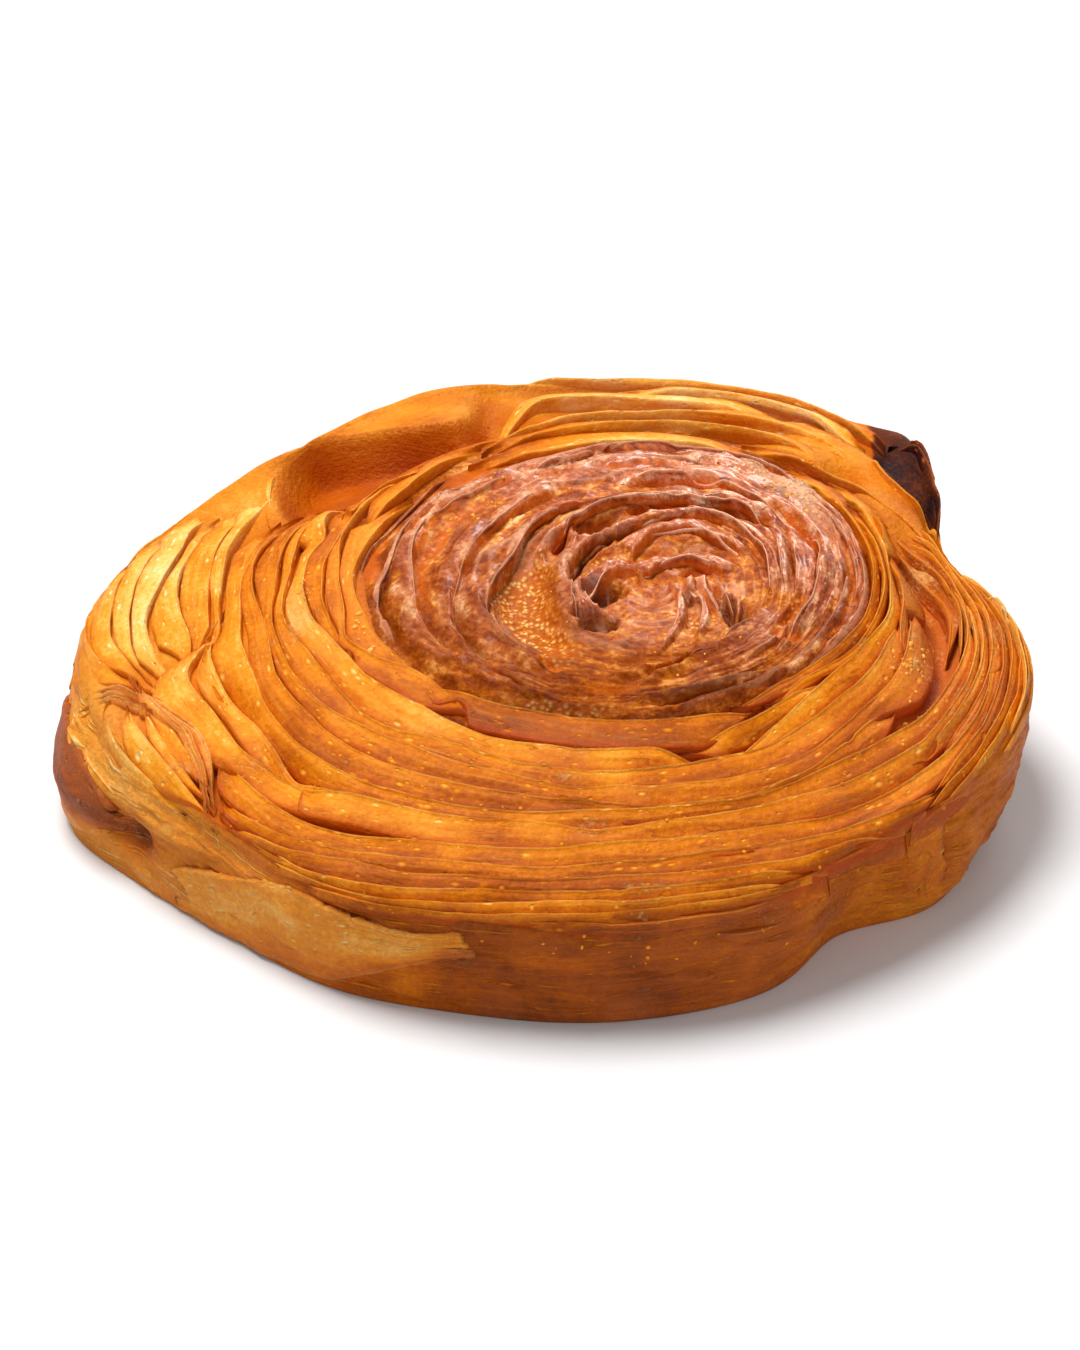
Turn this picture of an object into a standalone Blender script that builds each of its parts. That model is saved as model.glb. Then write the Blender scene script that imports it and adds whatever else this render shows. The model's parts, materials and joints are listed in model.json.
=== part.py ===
"""Kouign amann: a round coil of buttered, sugared dough, baked until its layers fan open.

The pastry is one solid. Its surface is drawn as loops round an eye that sits off the middle: out over
the folded caramel dome, down the fan of pleated layers to the rim, down the side and in under the foot.
Lengths are millimetres here and become metres where a vertex is made. +Z is up, the origin is on the
floor below the middle of the pastry, and angles run anticlockwise from +X, seen from above.
"""

import math
from collections import namedtuple

import bmesh
import bpy

MM = 0.001

# A guide ring is one turn of the coil: the middle and half sizes of its oval, its height, and how much
# it climbs per millimetre towards +X and +Y. Stations number the rings from the eye to the foot.
Ring = namedtuple("Ring", "station middle_x middle_y half_width half_depth height climb_x climb_y")
GUIDE_RINGS = (
    Ring(0, 13.8, 1.2, 0.0, 0.0, 23.4, 0.00, 0.00),  # eye
    Ring(1, 13.8, 0.3, 10.6, 13.0, 24.6, 0.00, 0.00),  # whorl
    Ring(2, 11.5, -1.6, 19.6, 20.6, 25.6, 0.00, 0.00),  # inner turn of the dome
    Ring(3, 7.9, 2.8, 31.4, 31.2, 25.0, 0.00, 0.02),  # edge of the dome
    Ring(4, 6.3, 0.6, 45.5, 45.2, 21.2, 0.00, 0.03),  # middle of the fan
    Ring(5, 2.1, 1.9, 59.0, 56.6, 17.5, 0.02, 0.04),  # rim
    Ring(6, 1.5, 1.5, 60.2, 57.2, 9.0, 0.00, 0.00),  # belly of the side
    Ring(7, 0.3, 0.7, 58.2, 56.0, 0.0, 0.00, 0.00),  # foot
)
DOME_STATION = 3.0
RIM_STATION = 5.0
BELLY_STATION = 6.0
FOOT_STATION = 7.0

# A lobe pushes the outline out, or in where it is negative, round one angle. It begins to act at one
# station and is full at the other.
Lobe = namedtuple("Lobe", "angle spread push begins full")
LOBES = (
    Lobe(148, 20, -5.6, 3.6, 5.0),  # flat of the back left
    Lobe(124, 18, -6.0, 3.6, 5.0),
    Lobe(92, 22, -3.8, 3.6, 5.0),  # the back
    Lobe(15, 17, -8.6, 3.6, 5.0),  # hollow beside the scorched flap
    Lobe(352, 16, -2.2, 5.2, 7.0),  # the side draws in under the right rim
    Lobe(310, 9, -4.6, 4.7, 5.6),  # notch of the front right, under the hanging layers
    Lobe(258, 14, -1.4, 4.7, 6.5),
    Lobe(228, 15, -2.6, 4.3, 5.2),  # flat of the front left
    Lobe(198, 9, 2.8, 5.0, 6.4),  # bulge under the pinched layers
)

# A swell lifts the surface, or sinks it where it is negative, round one station and angle.
Swell = namedtuple("Swell", "station angle station_spread angle_spread rise")
SWELLS = (
    Swell(4.20, 134, 0.42, 19, -7.5),  # open pocket at the back left
    Swell(4.92, 122, 0.17, 30, 2.2),  # the tall outer layer behind it
    Swell(3.68, 8, 0.24, 14, -4.6),  # pocket on the right
    Swell(3.80, 348, 0.14, 9, -2.4),  # sugared hollow beside it
    Swell(3.75, 41, 0.22, 4, -3.0),
    Swell(3.80, 92, 0.24, 9, -3.2),  # gap between the broad layers at the back
    Swell(4.03, 198, 0.07, 16, -3.0),  # long gap on the left
    Swell(4.17, 221, 0.07, 7, -2.6),
    Swell(3.40, 297, 0.09, 12, -1.8),  # step in front of the dome
    Swell(4.32, 322, 0.06, 16, -1.8),
    Swell(4.80, 203, 0.22, 13, 1.8),  # fan beside the pinch
    Swell(0.62, 192, 0.24, 16, -3.0),  # holes of the whorl
    Swell(0.96, 225, 0.17, 11, -2.6),
    Swell(0.56, 22, 0.16, 12, -1.8),
    Swell(0.93, 330, 0.14, 9, -1.6),
    Swell(1.47, 86, 0.20, 13, -2.8),  # troughs between the turns
    Swell(1.22, 122, 0.16, 13, -2.2),
    Swell(2.06, 50, 0.12, 15, -2.0),
    Swell(2.43, 27, 0.10, 11, -1.6),
    Swell(1.64, 281, 0.14, 8, -2.0),
    Swell(2.76, 289, 0.10, 8, -1.4),
    Swell(2.82, 200, 0.07, 16, -1.2),
    Swell(1.62, 195, 0.26, 34, -1.9),  # sunk sugared bed of the second turn
)

# A fold is a thick caramel lip along the dome: its rise, half its width in stations, and its path as
# (degrees, station) points.
Fold = namedtuple("Fold", "rise half_width path")
FOLDS = (
    Fold(1.3, 0.11, ((10, 0.92), (40, 0.60), (80, 0.35), (120, 0.27), (160, 0.45), (195, 0.90))),
    Fold(1.1, 0.12, ((20, 1.20), (60, 1.08), (90, 0.82), (120, 0.60), (150, 0.52))),
    Fold(1.5, 0.13, ((0, 1.58), (45, 1.66), (62, 1.48), (80, 1.20), (105, 0.98), (180, 1.10), (225, 1.30))),
    Fold(1.2, 0.10, ((-15, 1.80), (20, 1.98), (42, 2.27), (85, 1.82), (115, 1.56), (150, 1.46))),
    Fold(1.2, 0.09, ((110, 1.92), (155, 1.79), (200, 2.06), (240, 2.16))),
    Fold(1.0, 0.09, ((115, 2.27), (150, 2.18), (195, 2.32), (243, 2.72))),
    Fold(0.9, 0.09, ((0, 2.40), (20, 2.57), (60, 2.48), (95, 2.20))),
    Fold(0.9, 0.10, ((271, 1.35), (286, 0.80), (305, 0.48), (335, 0.25))),
    Fold(1.3, 0.14, ((270, 2.10), (286, 1.68), (305, 1.55), (345, 1.62))),
    Fold(0.9, 0.14, ((318, 2.35), (340, 2.30), (370, 2.62))),
    Fold(0.9, 0.08, ((135, 2.80), (175, 2.74), (215, 2.95), (255, 2.75))),
)
FOLD_END = 9.0  # degrees over which a fold rises from nothing at its ends

# The pinch is a crease across the fan, from where the layers gather down to the side.
PINCH_FROM = (4.45, 192)  # station, degrees
PINCH_TO = (5.25, 222)
PINCH_DEPTH = 3.0
PINCH_HALF_WIDTH = 2.6

# A flap is a stiff scorched tongue of dough that stands out from the side.
Flap = namedtuple("Flap", "station angle station_spread angle_spread push lift")
FLAPS = (
    Flap(5.25, 42, 0.40, 5.5, 3.2, 0.6),  # back right
    Flap(5.95, 197, 0.55, 9.0, 1.0, 0.0),  # front left
    Flap(6.40, 322, 0.50, 5.0, 1.4, 0.0),  # front right
)

# The dome's loops are close enough together to carry its folds.
EYE_LOOP_STATION = 0.22
DOME_LOOPS = 28

# Pleats of the fan: each rises gently from its foot to a lip and drops again, as a layer's edge does.
FAN_PLEATS = 13
FAN_PLEAT_RISE = 2.1
LIP_OVERHANG = 0.35
PLEAT_STEPS = ((0.0, -0.45), (0.5, 0.15), (0.86, 0.55))  # share of the pleat, share of its rise

SIDE_STATIONS = (5.0, 5.22, 5.55, 5.9, 6.25, 6.6, 6.85, 7.0)
SIDE_RIPPLE = 0.45  # long low bands in the side
SEGMENTS = 72

CRUST_COLOUR = (0.60, 0.23, 0.045, 1.0)
CRUST_ROUGHNESS = 0.42


def smooth(share):
    """0 to 1 with soft ends."""
    share = min(max(share, 0.0), 1.0)
    return share * share * (3.0 - 2.0 * share)


def turn_between(angle, middle):
    """Degrees from middle to angle, the short way round."""
    return (angle - middle + 180.0) % 360.0 - 180.0


def bell(distance, spread):
    return math.exp(-((distance / spread) ** 2))


def wobble(angle, seed):
    """A smooth uneven wave round the pastry, from about -1 to 1, different for each seed."""
    t = math.radians(angle)
    waves = ((2, 0.42, 2.4), (3, 0.34, 4.1), (5, 0.26, 1.7), (8, 0.16, 5.3))
    return sum(size * math.sin(count * t + phase * (seed + 1.0)) for count, size, phase in waves)


def slope_at(values, index):
    """Slope of a guide value at a ring, none at its peaks, so that the curve never overshoots."""
    if index in (0, len(values) - 1):
        neighbour = 1 if index == 0 else index - 1
        return (values[neighbour] - values[index]) * (1 if index == 0 else -1)
    before, after = values[index] - values[index - 1], values[index + 1] - values[index]
    return 0.0 if before * after <= 0 else 2.0 * before * after / (before + after)


def guide_value(station, field):
    """One value of the guide rings at a station between them, on a smooth curve."""
    values = [getattr(ring, field) for ring in GUIDE_RINGS]
    index = min(int(station), len(values) - 2)
    t = station - index
    low, high = slope_at(values, index), slope_at(values, index + 1)
    return (
        (2 * t**3 - 3 * t**2 + 1) * values[index]
        + (t**3 - 2 * t**2 + t) * low
        + (3 * t**2 - 2 * t**3) * values[index + 1]
        + (t**3 - t**2) * high
    )


def coil_drift(station, angle):
    """How far the turns wander from the guide rings, in stations."""
    t = math.radians(angle)
    room = smooth((station - DOME_STATION) / 0.6) * smooth((FOOT_STATION - station) / 2.0)
    return room * (0.055 * math.sin(3 * t + 2.2 * station) + 0.035 * math.sin(5 * t - 2.9 * station))


def outline_push(station, angle):
    return sum(
        lobe.push
        * bell(turn_between(angle, lobe.angle), lobe.spread)
        * smooth((station - lobe.begins) / (lobe.full - lobe.begins))
        for lobe in LOBES
    )


def swell_rise(station, angle):
    return sum(
        swell.rise
        * bell(station - swell.station, swell.station_spread)
        * bell(turn_between(angle, swell.angle), swell.angle_spread)
        for swell in SWELLS
    )


def fold_station(path, angle):
    """Station of a fold at an angle within its path, straight from point to point."""
    for (low, near), (high, far) in zip(path, path[1:]):
        if angle <= high:
            return near + (far - near) * (angle - low) / (high - low)
    return path[-1][1]


def fold_rise(station, angle):
    """Height that the folds of the dome add here."""
    rise = 0.0
    for fold in FOLDS:
        first, last = fold.path[0][0], fold.path[-1][0]
        along = first + (angle - first) % 360.0
        ends = smooth((along - first) / FOLD_END) * smooth((last - along) / FOLD_END)
        if ends > 0.0:
            rise += fold.rise * ends * bell(station - fold_station(fold.path, along), fold.half_width)
    return rise


def pinch_drop(station, angle):
    """Depth of the crease that runs from PINCH_FROM to PINCH_TO."""
    along = (station - PINCH_FROM[0]) / (PINCH_TO[0] - PINCH_FROM[0])
    ends = smooth((along + 0.25) / 0.3) * smooth((1.35 - along) / 0.3)
    middle = PINCH_FROM[1] + (PINCH_TO[1] - PINCH_FROM[1]) * min(max(along, 0.0), 1.0)
    reach = math.radians(abs(turn_between(angle, middle))) * guide_value(station, "half_width")
    return PINCH_DEPTH * ends * bell(reach, PINCH_HALF_WIDTH)


def flap_reach(station, angle):
    """How far out and up the scorched flaps carry the side here."""
    out = up = 0.0
    for flap in FLAPS:
        share = bell(station - flap.station, flap.station_spread)
        share *= bell(turn_between(angle, flap.angle), flap.angle_spread)
        out += flap.push * share
        up += flap.lift * share
    return out, up


def side_ripple(station, angle):
    if station <= RIM_STATION or station >= FOOT_STATION:
        return 0.0
    bands = math.sin(9.0 * station + 1.3 * math.sin(math.radians(2 * angle)))
    return SIDE_RIPPLE * (0.6 * bands + 0.7 * wobble(angle, station))


def surface_point(station, angle, lift=0.0, overhang=0.0):
    """A point of the pastry's surface in millimetres, lifted and leaned out as a layer's lip is."""
    drifted = station + coil_drift(station, angle)
    t = math.radians(angle)
    flap_out, flap_up = flap_reach(station, angle)
    out = outline_push(drifted, angle) + overhang + flap_out + side_ripple(station, angle)
    x = guide_value(drifted, "middle_x") + (guide_value(drifted, "half_width") + out) * math.cos(t)
    y = guide_value(drifted, "middle_y") + (guide_value(drifted, "half_depth") + out) * math.sin(t)
    z = guide_value(drifted, "height") + guide_value(drifted, "climb_x") * x
    z += guide_value(drifted, "climb_y") * y + lift + flap_up
    if drifted < BELLY_STATION:
        z += swell_rise(station, angle) + fold_rise(station, angle) - pinch_drop(station, angle)
    if station >= FOOT_STATION:
        z = 0.0
    return x, y, z


def top_loops():
    """(station, lift, overhang, seed) of every loop over the top, from the whorl out to the rim."""
    for loop in range(DOME_LOOPS):
        yield EYE_LOOP_STATION + (DOME_STATION - EYE_LOOP_STATION) * loop / DOME_LOOPS, 0.0, 0.0, 0
    width = (RIM_STATION - DOME_STATION) / FAN_PLEATS
    for pleat in range(FAN_PLEATS):
        for share, height in PLEAT_STEPS:
            leans = LIP_OVERHANG if height == PLEAT_STEPS[-1][1] else 0.0
            yield DOME_STATION + width * (pleat + share), FAN_PLEAT_RISE * height, leans, pleat + 1


def loop_points(station, lift, overhang, seed):
    """The points of one loop. A pleat swells and dies away round the coil, each in its own way."""
    for segment in range(SEGMENTS):
        angle = 360.0 * segment / SEGMENTS
        strength = 0.8 + 0.45 * wobble(angle, seed)
        yield surface_point(station, angle, lift * strength, overhang * strength)


def loops_from_eye_to_foot():
    for station, lift, overhang, seed in top_loops():
        yield list(loop_points(station, lift, overhang, seed))
    for station in SIDE_STATIONS:
        yield list(loop_points(station, 0.0, 0.0, 0))


def skin_of_loops(mesh, rings, eye):
    """Joins the loops with quads, closes the eye with a fan and the foot with one flat face."""
    bm = bmesh.new()
    turns = [[bm.verts.new([MM * value for value in point]) for point in ring] for ring in rings]
    for inner, outer in zip(turns, turns[1:]):
        for here in range(SEGMENTS):
            after = (here + 1) % SEGMENTS
            bm.faces.new((inner[here], outer[here], outer[after], inner[after]))
    top = bm.verts.new([MM * value for value in eye])
    for here in range(SEGMENTS):
        bm.faces.new((top, turns[0][here], turns[0][(here + 1) % SEGMENTS]))
    bm.faces.new(list(reversed(turns[-1])))
    bmesh.ops.recalc_face_normals(bm, faces=bm.faces)
    bm.to_mesh(mesh)
    bm.free()


def crust_material():
    """Golden baked crust under a thin caramel glaze."""
    material = bpy.data.materials.new("baked_crust")
    material.use_nodes = True
    shader = material.node_tree.nodes["Principled BSDF"]
    shader.inputs["Base Color"].default_value = CRUST_COLOUR
    shader.inputs["Roughness"].default_value = CRUST_ROUGHNESS
    shader.inputs["Metallic"].default_value = 0.0
    return material


def build_pastry():
    mesh = bpy.data.meshes.new("kouign_amann")
    skin_of_loops(mesh, list(loops_from_eye_to_foot()), surface_point(0.0, 0.0))
    mesh.materials.append(crust_material())
    mesh.shade_smooth()
    mesh.set_sharp_from_angle(angle=math.radians(55))
    pastry = bpy.data.objects.new("kouign_amann", mesh)
    bpy.context.scene.collection.objects.link(pastry)
    return pastry


for old in list(bpy.data.objects):
    bpy.data.objects.remove(old)
build_pastry()
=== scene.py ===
"""The looks of the kouign amann: a baked coil of buttered dough under caramel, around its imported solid.

The pastry is put together as it is in the oven: the dough body, the caramel dome over its middle, the
fan of thin layers that opens round the dome, the skins down its side, the scorched tongues and the
sugar. Lengths are millimetres until a mesh is filled; angles run anticlockwise from +X, seen from
above; stations number the turns of the coil, from 0 at the eye over 5 at the rim to 7 at the foot.
"""

import json
import math
import random

import bpy
import numpy as np
from mathutils import Matrix, Quaternion, Vector
from mathutils.bvhtree import BVHTree

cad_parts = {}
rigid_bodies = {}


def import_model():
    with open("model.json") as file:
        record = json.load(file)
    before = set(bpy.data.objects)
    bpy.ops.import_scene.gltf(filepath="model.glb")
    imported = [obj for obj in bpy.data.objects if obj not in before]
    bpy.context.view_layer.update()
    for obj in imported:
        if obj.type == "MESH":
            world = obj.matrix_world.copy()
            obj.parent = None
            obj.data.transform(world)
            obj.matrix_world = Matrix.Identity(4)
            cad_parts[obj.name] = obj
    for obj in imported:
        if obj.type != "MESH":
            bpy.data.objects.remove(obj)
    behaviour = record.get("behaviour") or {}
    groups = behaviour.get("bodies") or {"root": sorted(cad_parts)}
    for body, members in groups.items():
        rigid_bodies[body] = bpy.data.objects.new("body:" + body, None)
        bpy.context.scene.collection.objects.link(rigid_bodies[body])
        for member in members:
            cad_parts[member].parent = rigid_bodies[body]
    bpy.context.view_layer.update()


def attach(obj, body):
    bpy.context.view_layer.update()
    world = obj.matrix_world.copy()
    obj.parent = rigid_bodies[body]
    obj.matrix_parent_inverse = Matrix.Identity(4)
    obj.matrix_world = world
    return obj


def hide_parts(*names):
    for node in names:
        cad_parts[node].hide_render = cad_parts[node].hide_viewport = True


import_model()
bpy.ops.object.select_all(action="DESELECT")


# ---- Dough body -------------------------------------------------------------------------------
# The body is one coil of butter and dough, pressed into a round and baked through. Its side is plain
# browned crust with long faint bands of layers, and its foot is flat from the baking sheet.

MM = 0.001
RIM, FOOT = 5.0, 7.0
# Each turn of the coil: station, middle x, middle y, half width, half depth, height, climb to +X, to +Y.
TURNS = np.array(
    (
        (0, 13.8, 1.2, 0.0, 0.0, 23.4, 0.00, 0.00),
        (1, 13.8, 0.3, 10.6, 13.0, 24.6, 0.00, 0.00),
        (2, 11.5, -1.6, 19.6, 20.6, 25.6, 0.00, 0.00),
        (3, 7.9, 2.8, 31.4, 31.2, 25.0, 0.00, 0.02),
        (4, 6.3, 0.6, 45.5, 45.2, 21.2, 0.00, 0.03),
        (5, 2.1, 1.9, 59.0, 56.6, 17.5, 0.02, 0.04),
        (6, 1.5, 1.5, 60.2, 57.2, 9.0, 0.00, 0.00),
        (7, 0.3, 0.7, 58.2, 56.0, 0.0, 0.00, 0.00),
    )
)
MIDDLE_X, MIDDLE_Y, HALF_WIDTH, HALF_DEPTH, HEIGHT, CLIMB_X, CLIMB_Y = range(1, 8)
# Where the outline is pushed out or in: angle, spread, push, station where it begins, where it is full.
LOBES = (
    (148, 20, -5.6, 3.6, 5.0),
    (124, 18, -6.0, 3.6, 5.0),
    (92, 22, -3.8, 3.6, 5.0),
    (15, 17, -8.6, 3.6, 5.0),
    (352, 16, -2.2, 5.2, 7.0),
    (310, 9, -4.6, 4.7, 5.6),
    (258, 14, -1.4, 4.7, 6.5),
    (228, 15, -2.6, 4.3, 5.2),
    (198, 9, 2.8, 5.0, 6.4),
)
# Spots are given as station, angle, station spread, angle spread and amount. These rise and sink the fan.
FAN_SWELLS = (
    (4.92, 122, 0.20, 30, 1.7),
    (3.68, 8, 0.24, 14, -4.6),
    (3.80, 348, 0.14, 9, -2.4),
    (3.75, 41, 0.22, 4, -3.0),
    (4.03, 198, 0.07, 16, -3.0),
    (4.17, 221, 0.07, 7, -2.6),
    (3.40, 297, 0.09, 12, -1.2),
    (4.32, 322, 0.06, 16, -1.2),
    (4.80, 203, 0.22, 13, 1.8),
    (4.46, 28, 0.16, 9, -2.4),
)
# The pocket of the back left: the far edge it falls from as (angle, station) points, its depth, and the
# stations over which its wall falls and its floor climbs back.
POCKET_EDGE = (
    (97, 4.95), (101, 4.78), (105, 4.50), (109, 4.20), (113, 3.92), (116, 3.80), (119, 4.00), (122, 4.34),
     (126, 4.62),
    (131, 4.92), (136, 4.76), (142, 4.52), (147, 4.32), (152, 4.12), (157, 3.95),
)
POCKET_DEPTH, POCKET_WALL, POCKET_FLOOR, POCKET_NEAR = 6.0, 0.40, 0.70, 3.08
# Stiff tongues of the side and a hollow in it: station, angle, station spread, angle spread, push, lift.
TONGUES = (
    (5.25, 42, 0.40, 5.5, 3.2, 0.6),
    (5.95, 197, 0.55, 9.0, 1.0, 0.0),
    (6.40, 322, 0.50, 5.0, 1.4, 0.0),
    (6.25, 211, 0.26, 3.2, -2.4, 0.0),
)
# Where the scorched end begins, as (angle, station) points.
SCORCH_EDGE = (
    (17, 6.0), (20, 5.0), (23, 4.56), (27, 4.32), (32, 4.16), (38, 4.22), (43, 4.42), (47, 4.9), (49, 6.0),
)
PINCH_FROM, PINCH_TO = (4.45, 192), (5.25, 222)
PINCH_DEPTH, PINCH_HALF_WIDTH = 0.5, 2.6
BED_DROP, BED_DROP_LEFT = 2.2, 0.9  # the bed between the layers lies this far under their lips
UNDER_DOME = 5.0  # how far the body drops under the dome's skin
BAND_RELIEF = 0.32
SIDE_FROM = 4.9  # station where the top turns down into the side
# How browned, glazed and frosted with sugar the crust is, as swaths: amount, angle, spread, and the
# stations where a swath begins and is full, and where it starts to fade and is gone, if it does. One
# that begins below 0 is there from the eye on.
TOASTED = (
    (-0.17, 170, 27, 3.70, 4.50),
    (0.07, 120, 18, -2.00, -1.00),
    (-0.18, 80, 30, 2.60, 2.80),
    (-0.12, 12, 16, 4.30, 4.50),
    (0.07, 200, 60, -2.00, -1.00, 3.00, 3.40),
    (0.08, 280, 46, 4.20, 4.70),
    (0.07, 274, 26, 4.80, 5.40),
    (-0.21, 218, 24, 4.80, 5.40),
    (-0.06, 150, 40, 4.80, 5.40),
    (-0.13, 312, 18, 4.80, 5.40),
    (-0.10, 207, 13, 4.42, 4.52, 5.50, 5.90),
)
GLAZED = (
    (0.40, 55, 14, 4.50, 4.80),
    (0.40, 345, 36, 3.20, 3.50, 4.30, 4.80),
    (0.20, 190, 40, -2.00, -1.00, 3.10, 3.20),
    (0.40, 217, 24, 5.00, 5.40),
    (0.25, 300, 30, 5.00, 5.40),
)
FROSTED = ((0.4, 214, 18, 5.20, 5.60), (0.5, 345, 34, 3.40, 3.80, 4.90, 5.40))
BURNT_SPOTS = ((6.25, 211, 0.28, 3.6, 0.50),)
GLAZED_SPOTS = ((4.75, 200, 0.35, 6, 0.25),)
FROSTED_SPOTS = ((3.36, 187, 0.08, 14, 1.0), (3.62, 10, 0.22, 9, 0.9))
BODY_SEGMENTS, BODY_RINGS, BODY_CUTS = 150, 40, 3
# Shares of the way from the middle of the body's top to the middle of its foot, and their stations.
BODY_SHARES, BODY_STATIONS = (0.0, 0.06, 0.42, 0.86, 1.0), (0.0, 2.5, RIM, FOOT, FOOT)


def smooth(share):
    """0 to 1 with soft ends."""
    share = np.clip(share, 0.0, 1.0)
    return share * share * (3.0 - 2.0 * share)


def bell(distance, spread):
    return np.exp(-((distance / spread) ** 2))


def turn_between(angle, middle):
    """Degrees from middle to angle, the short way round."""
    return (angle - middle + 180.0) % 360.0 - 180.0


def near(angle, middle, spread):
    """1 at the middle angle, fading on both sides."""
    return bell(turn_between(angle, middle), spread)


def outward(angle):
    """Level unit vectors away from the middle, one row each."""
    return np.stack((np.cos(np.radians(angle)), np.sin(np.radians(angle))), axis=1)


def curved(values, slopes, low, t, span=1.0):
    """Values on a smooth curve, at shares t of the way from point low to the next one."""
    return (
        (2 * t**3 - 3 * t**2 + 1) * values[low]
        + (t**3 - 2 * t**2 + t) * span * slopes[low]
        + (3 * t**2 - 2 * t**3) * values[low + 1]
        + (t**3 - t**2) * span * slopes[low + 1]
    )


def guide(station, column):
    """One value of the turns at stations between them, on a smooth curve that never overshoots."""
    values = TURNS[:, column]
    steps = np.diff(values)
    product, total = steps[:-1] * steps[1:], steps[:-1] + steps[1:]
    slopes = np.concatenate((steps[:1], np.zeros(len(product)), steps[-1:]))
    both = product > 0
    slopes[1:-1][both] = 2 * product[both] / total[both]
    low = np.clip(station.astype(int), 0, len(values) - 2)
    return curved(values, slopes, low, station - low)


def on_turns(station, angle):
    """Points of the pastry's plain outer form, one row each, at stations and angles."""
    push, up = np.zeros((2, len(station)))
    for middle, spread, reach, begins, full in LOBES:
        push += reach * near(angle, middle, spread) * smooth((station - begins) / (full - begins))
    for at, middle, station_spread, spread, reach, lift in TONGUES:
        share = bell(station - at, station_spread) * near(angle, middle, spread)
        push += reach * share
        up += lift * share
    east, north = outward(angle).T
    x = guide(station, MIDDLE_X) + (guide(station, HALF_WIDTH) + push) * east
    y = guide(station, MIDDLE_Y) + (guide(station, HALF_DEPTH) + push) * north
    z = guide(station, HEIGHT) + guide(station, CLIMB_X) * x + guide(station, CLIMB_Y) * y + up
    return np.stack((x, y, z), axis=1)


def cloud(points, size, seed=0):
    """Smooth random values from -1 to 1 that change over about size millimetres."""
    cell = points / size + 31.7 * seed
    low = np.floor(cell).astype(np.int64)
    part = cell - low
    part = part * part * (3.0 - 2.0 * part)
    total = np.zeros(len(points))
    for corner in range(8):
        ahead = np.array([corner & 1, corner >> 1 & 1, corner >> 2 & 1])
        key = (low + ahead) @ np.array([73856093, 19349663, 83492791])
        key = (key ^ (key >> 13)) * 1274126177 & 0x7FFFFFFF
        share = np.prod(np.where(ahead, part, 1.0 - part), axis=1)
        total += share * (key / 0x3FFFFFFF - 1.0)
    return total


def banded(points):
    """Places to read a cloud at, so that it lies in long level bands round the side."""
    return points * (1.0, 1.0, 4.0) + points[:, [2, 2, 0]] * (0.0, 0.0, 0.5)


def spots(rows, station, angle):
    """What the spots of some rows add up to."""
    return sum(row[4] * bell(station - row[0], row[2]) * near(angle, row[1], row[3]) for row in rows)


def swaths(rows, station, angle):
    """What the swaths of some rows add up to."""
    total = np.zeros(len(angle))
    for amount, middle, spread, begins, full, *end in rows:
        fades, gone = end or (FOOT + 1.0, FOOT + 2.0)
        here = smooth((station - begins) / (full - begins)) * smooth((gone - station) / (gone - fades))
        total += amount * near(angle, middle, spread) * here
    return total


def pocket_share(station, angle):
    """1 on the floor of the pocket at the back left, 0 outside it."""
    at, edge = np.array(POCKET_EDGE).T
    ends = smooth((angle - at[0]) / 14.0) * smooth((at[-1] - angle) / 10.0)
    wall = smooth((np.interp(angle, at, edge) - station) / POCKET_WALL) ** 0.7
    return ends * wall * smooth((station - POCKET_NEAR) / POCKET_FLOOR)


def fan_swell(station, angle):
    return spots(FAN_SWELLS, station, angle) - POCKET_DEPTH * pocket_share(station, angle)


def pinch_drop(station, angle):
    """Depth of the crease where the layers of the left are gathered and run down the side."""
    along = (station - PINCH_FROM[0]) / (PINCH_TO[0] - PINCH_FROM[0])
    ends = smooth((along + 0.25) / 0.3) * smooth((1.35 - along) / 0.3)
    middle = PINCH_FROM[1] + (PINCH_TO[1] - PINCH_FROM[1]) * np.clip(along, 0.0, 1.0)
    reach = np.radians(np.abs(turn_between(angle, middle))) * guide(station, HALF_WIDTH)
    return PINCH_DEPTH * ends * bell(reach, PINCH_HALF_WIDTH)


def scorched_share(station, angle):
    """1 where the end of dough at the right of the back is burnt nearly black."""
    edge = np.interp(angle, *np.array(SCORCH_EDGE).T)
    return smooth((station - edge) / 0.05) * smooth((5.5 - station) / 0.3)


def toast_at(station, angle):
    """How far the crust is browned, from 0, pale straw, over gold and amber, to 1, scorched."""
    toast = 0.46 + 0.05 * np.cos(np.radians(angle - 285.0)) + 0.09 * smooth((station - 4.80) / 0.6)
    toast += swaths(TOASTED, station, angle) + spots(BURNT_SPOTS, station, angle)
    return toast + (0.97 - toast) * scorched_share(station, angle)


def glaze_at(station, angle, points):
    """Where sugar has burnt onto the layers and tints them rosy."""
    patches = 0.20 * smooth((cloud(points, 7.0, 91) - 0.25) / 0.4)
    patches += swaths(GLAZED, station, angle) + spots(GLAZED_SPOTS, station, angle)
    return np.clip(patches, 0.0, 0.7)


def frost_at(station, angle, points):
    """Where sugar has dried pale on the layers."""
    frost = swaths(FROSTED, station, angle) + spots(FROSTED_SPOTS, station, angle)
    return frost + (0.5 * smooth((cloud(points, 9.0, 92) - 0.1) / 0.5) - 0.2) * smooth((5.4 - station) / 0.5)


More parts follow.
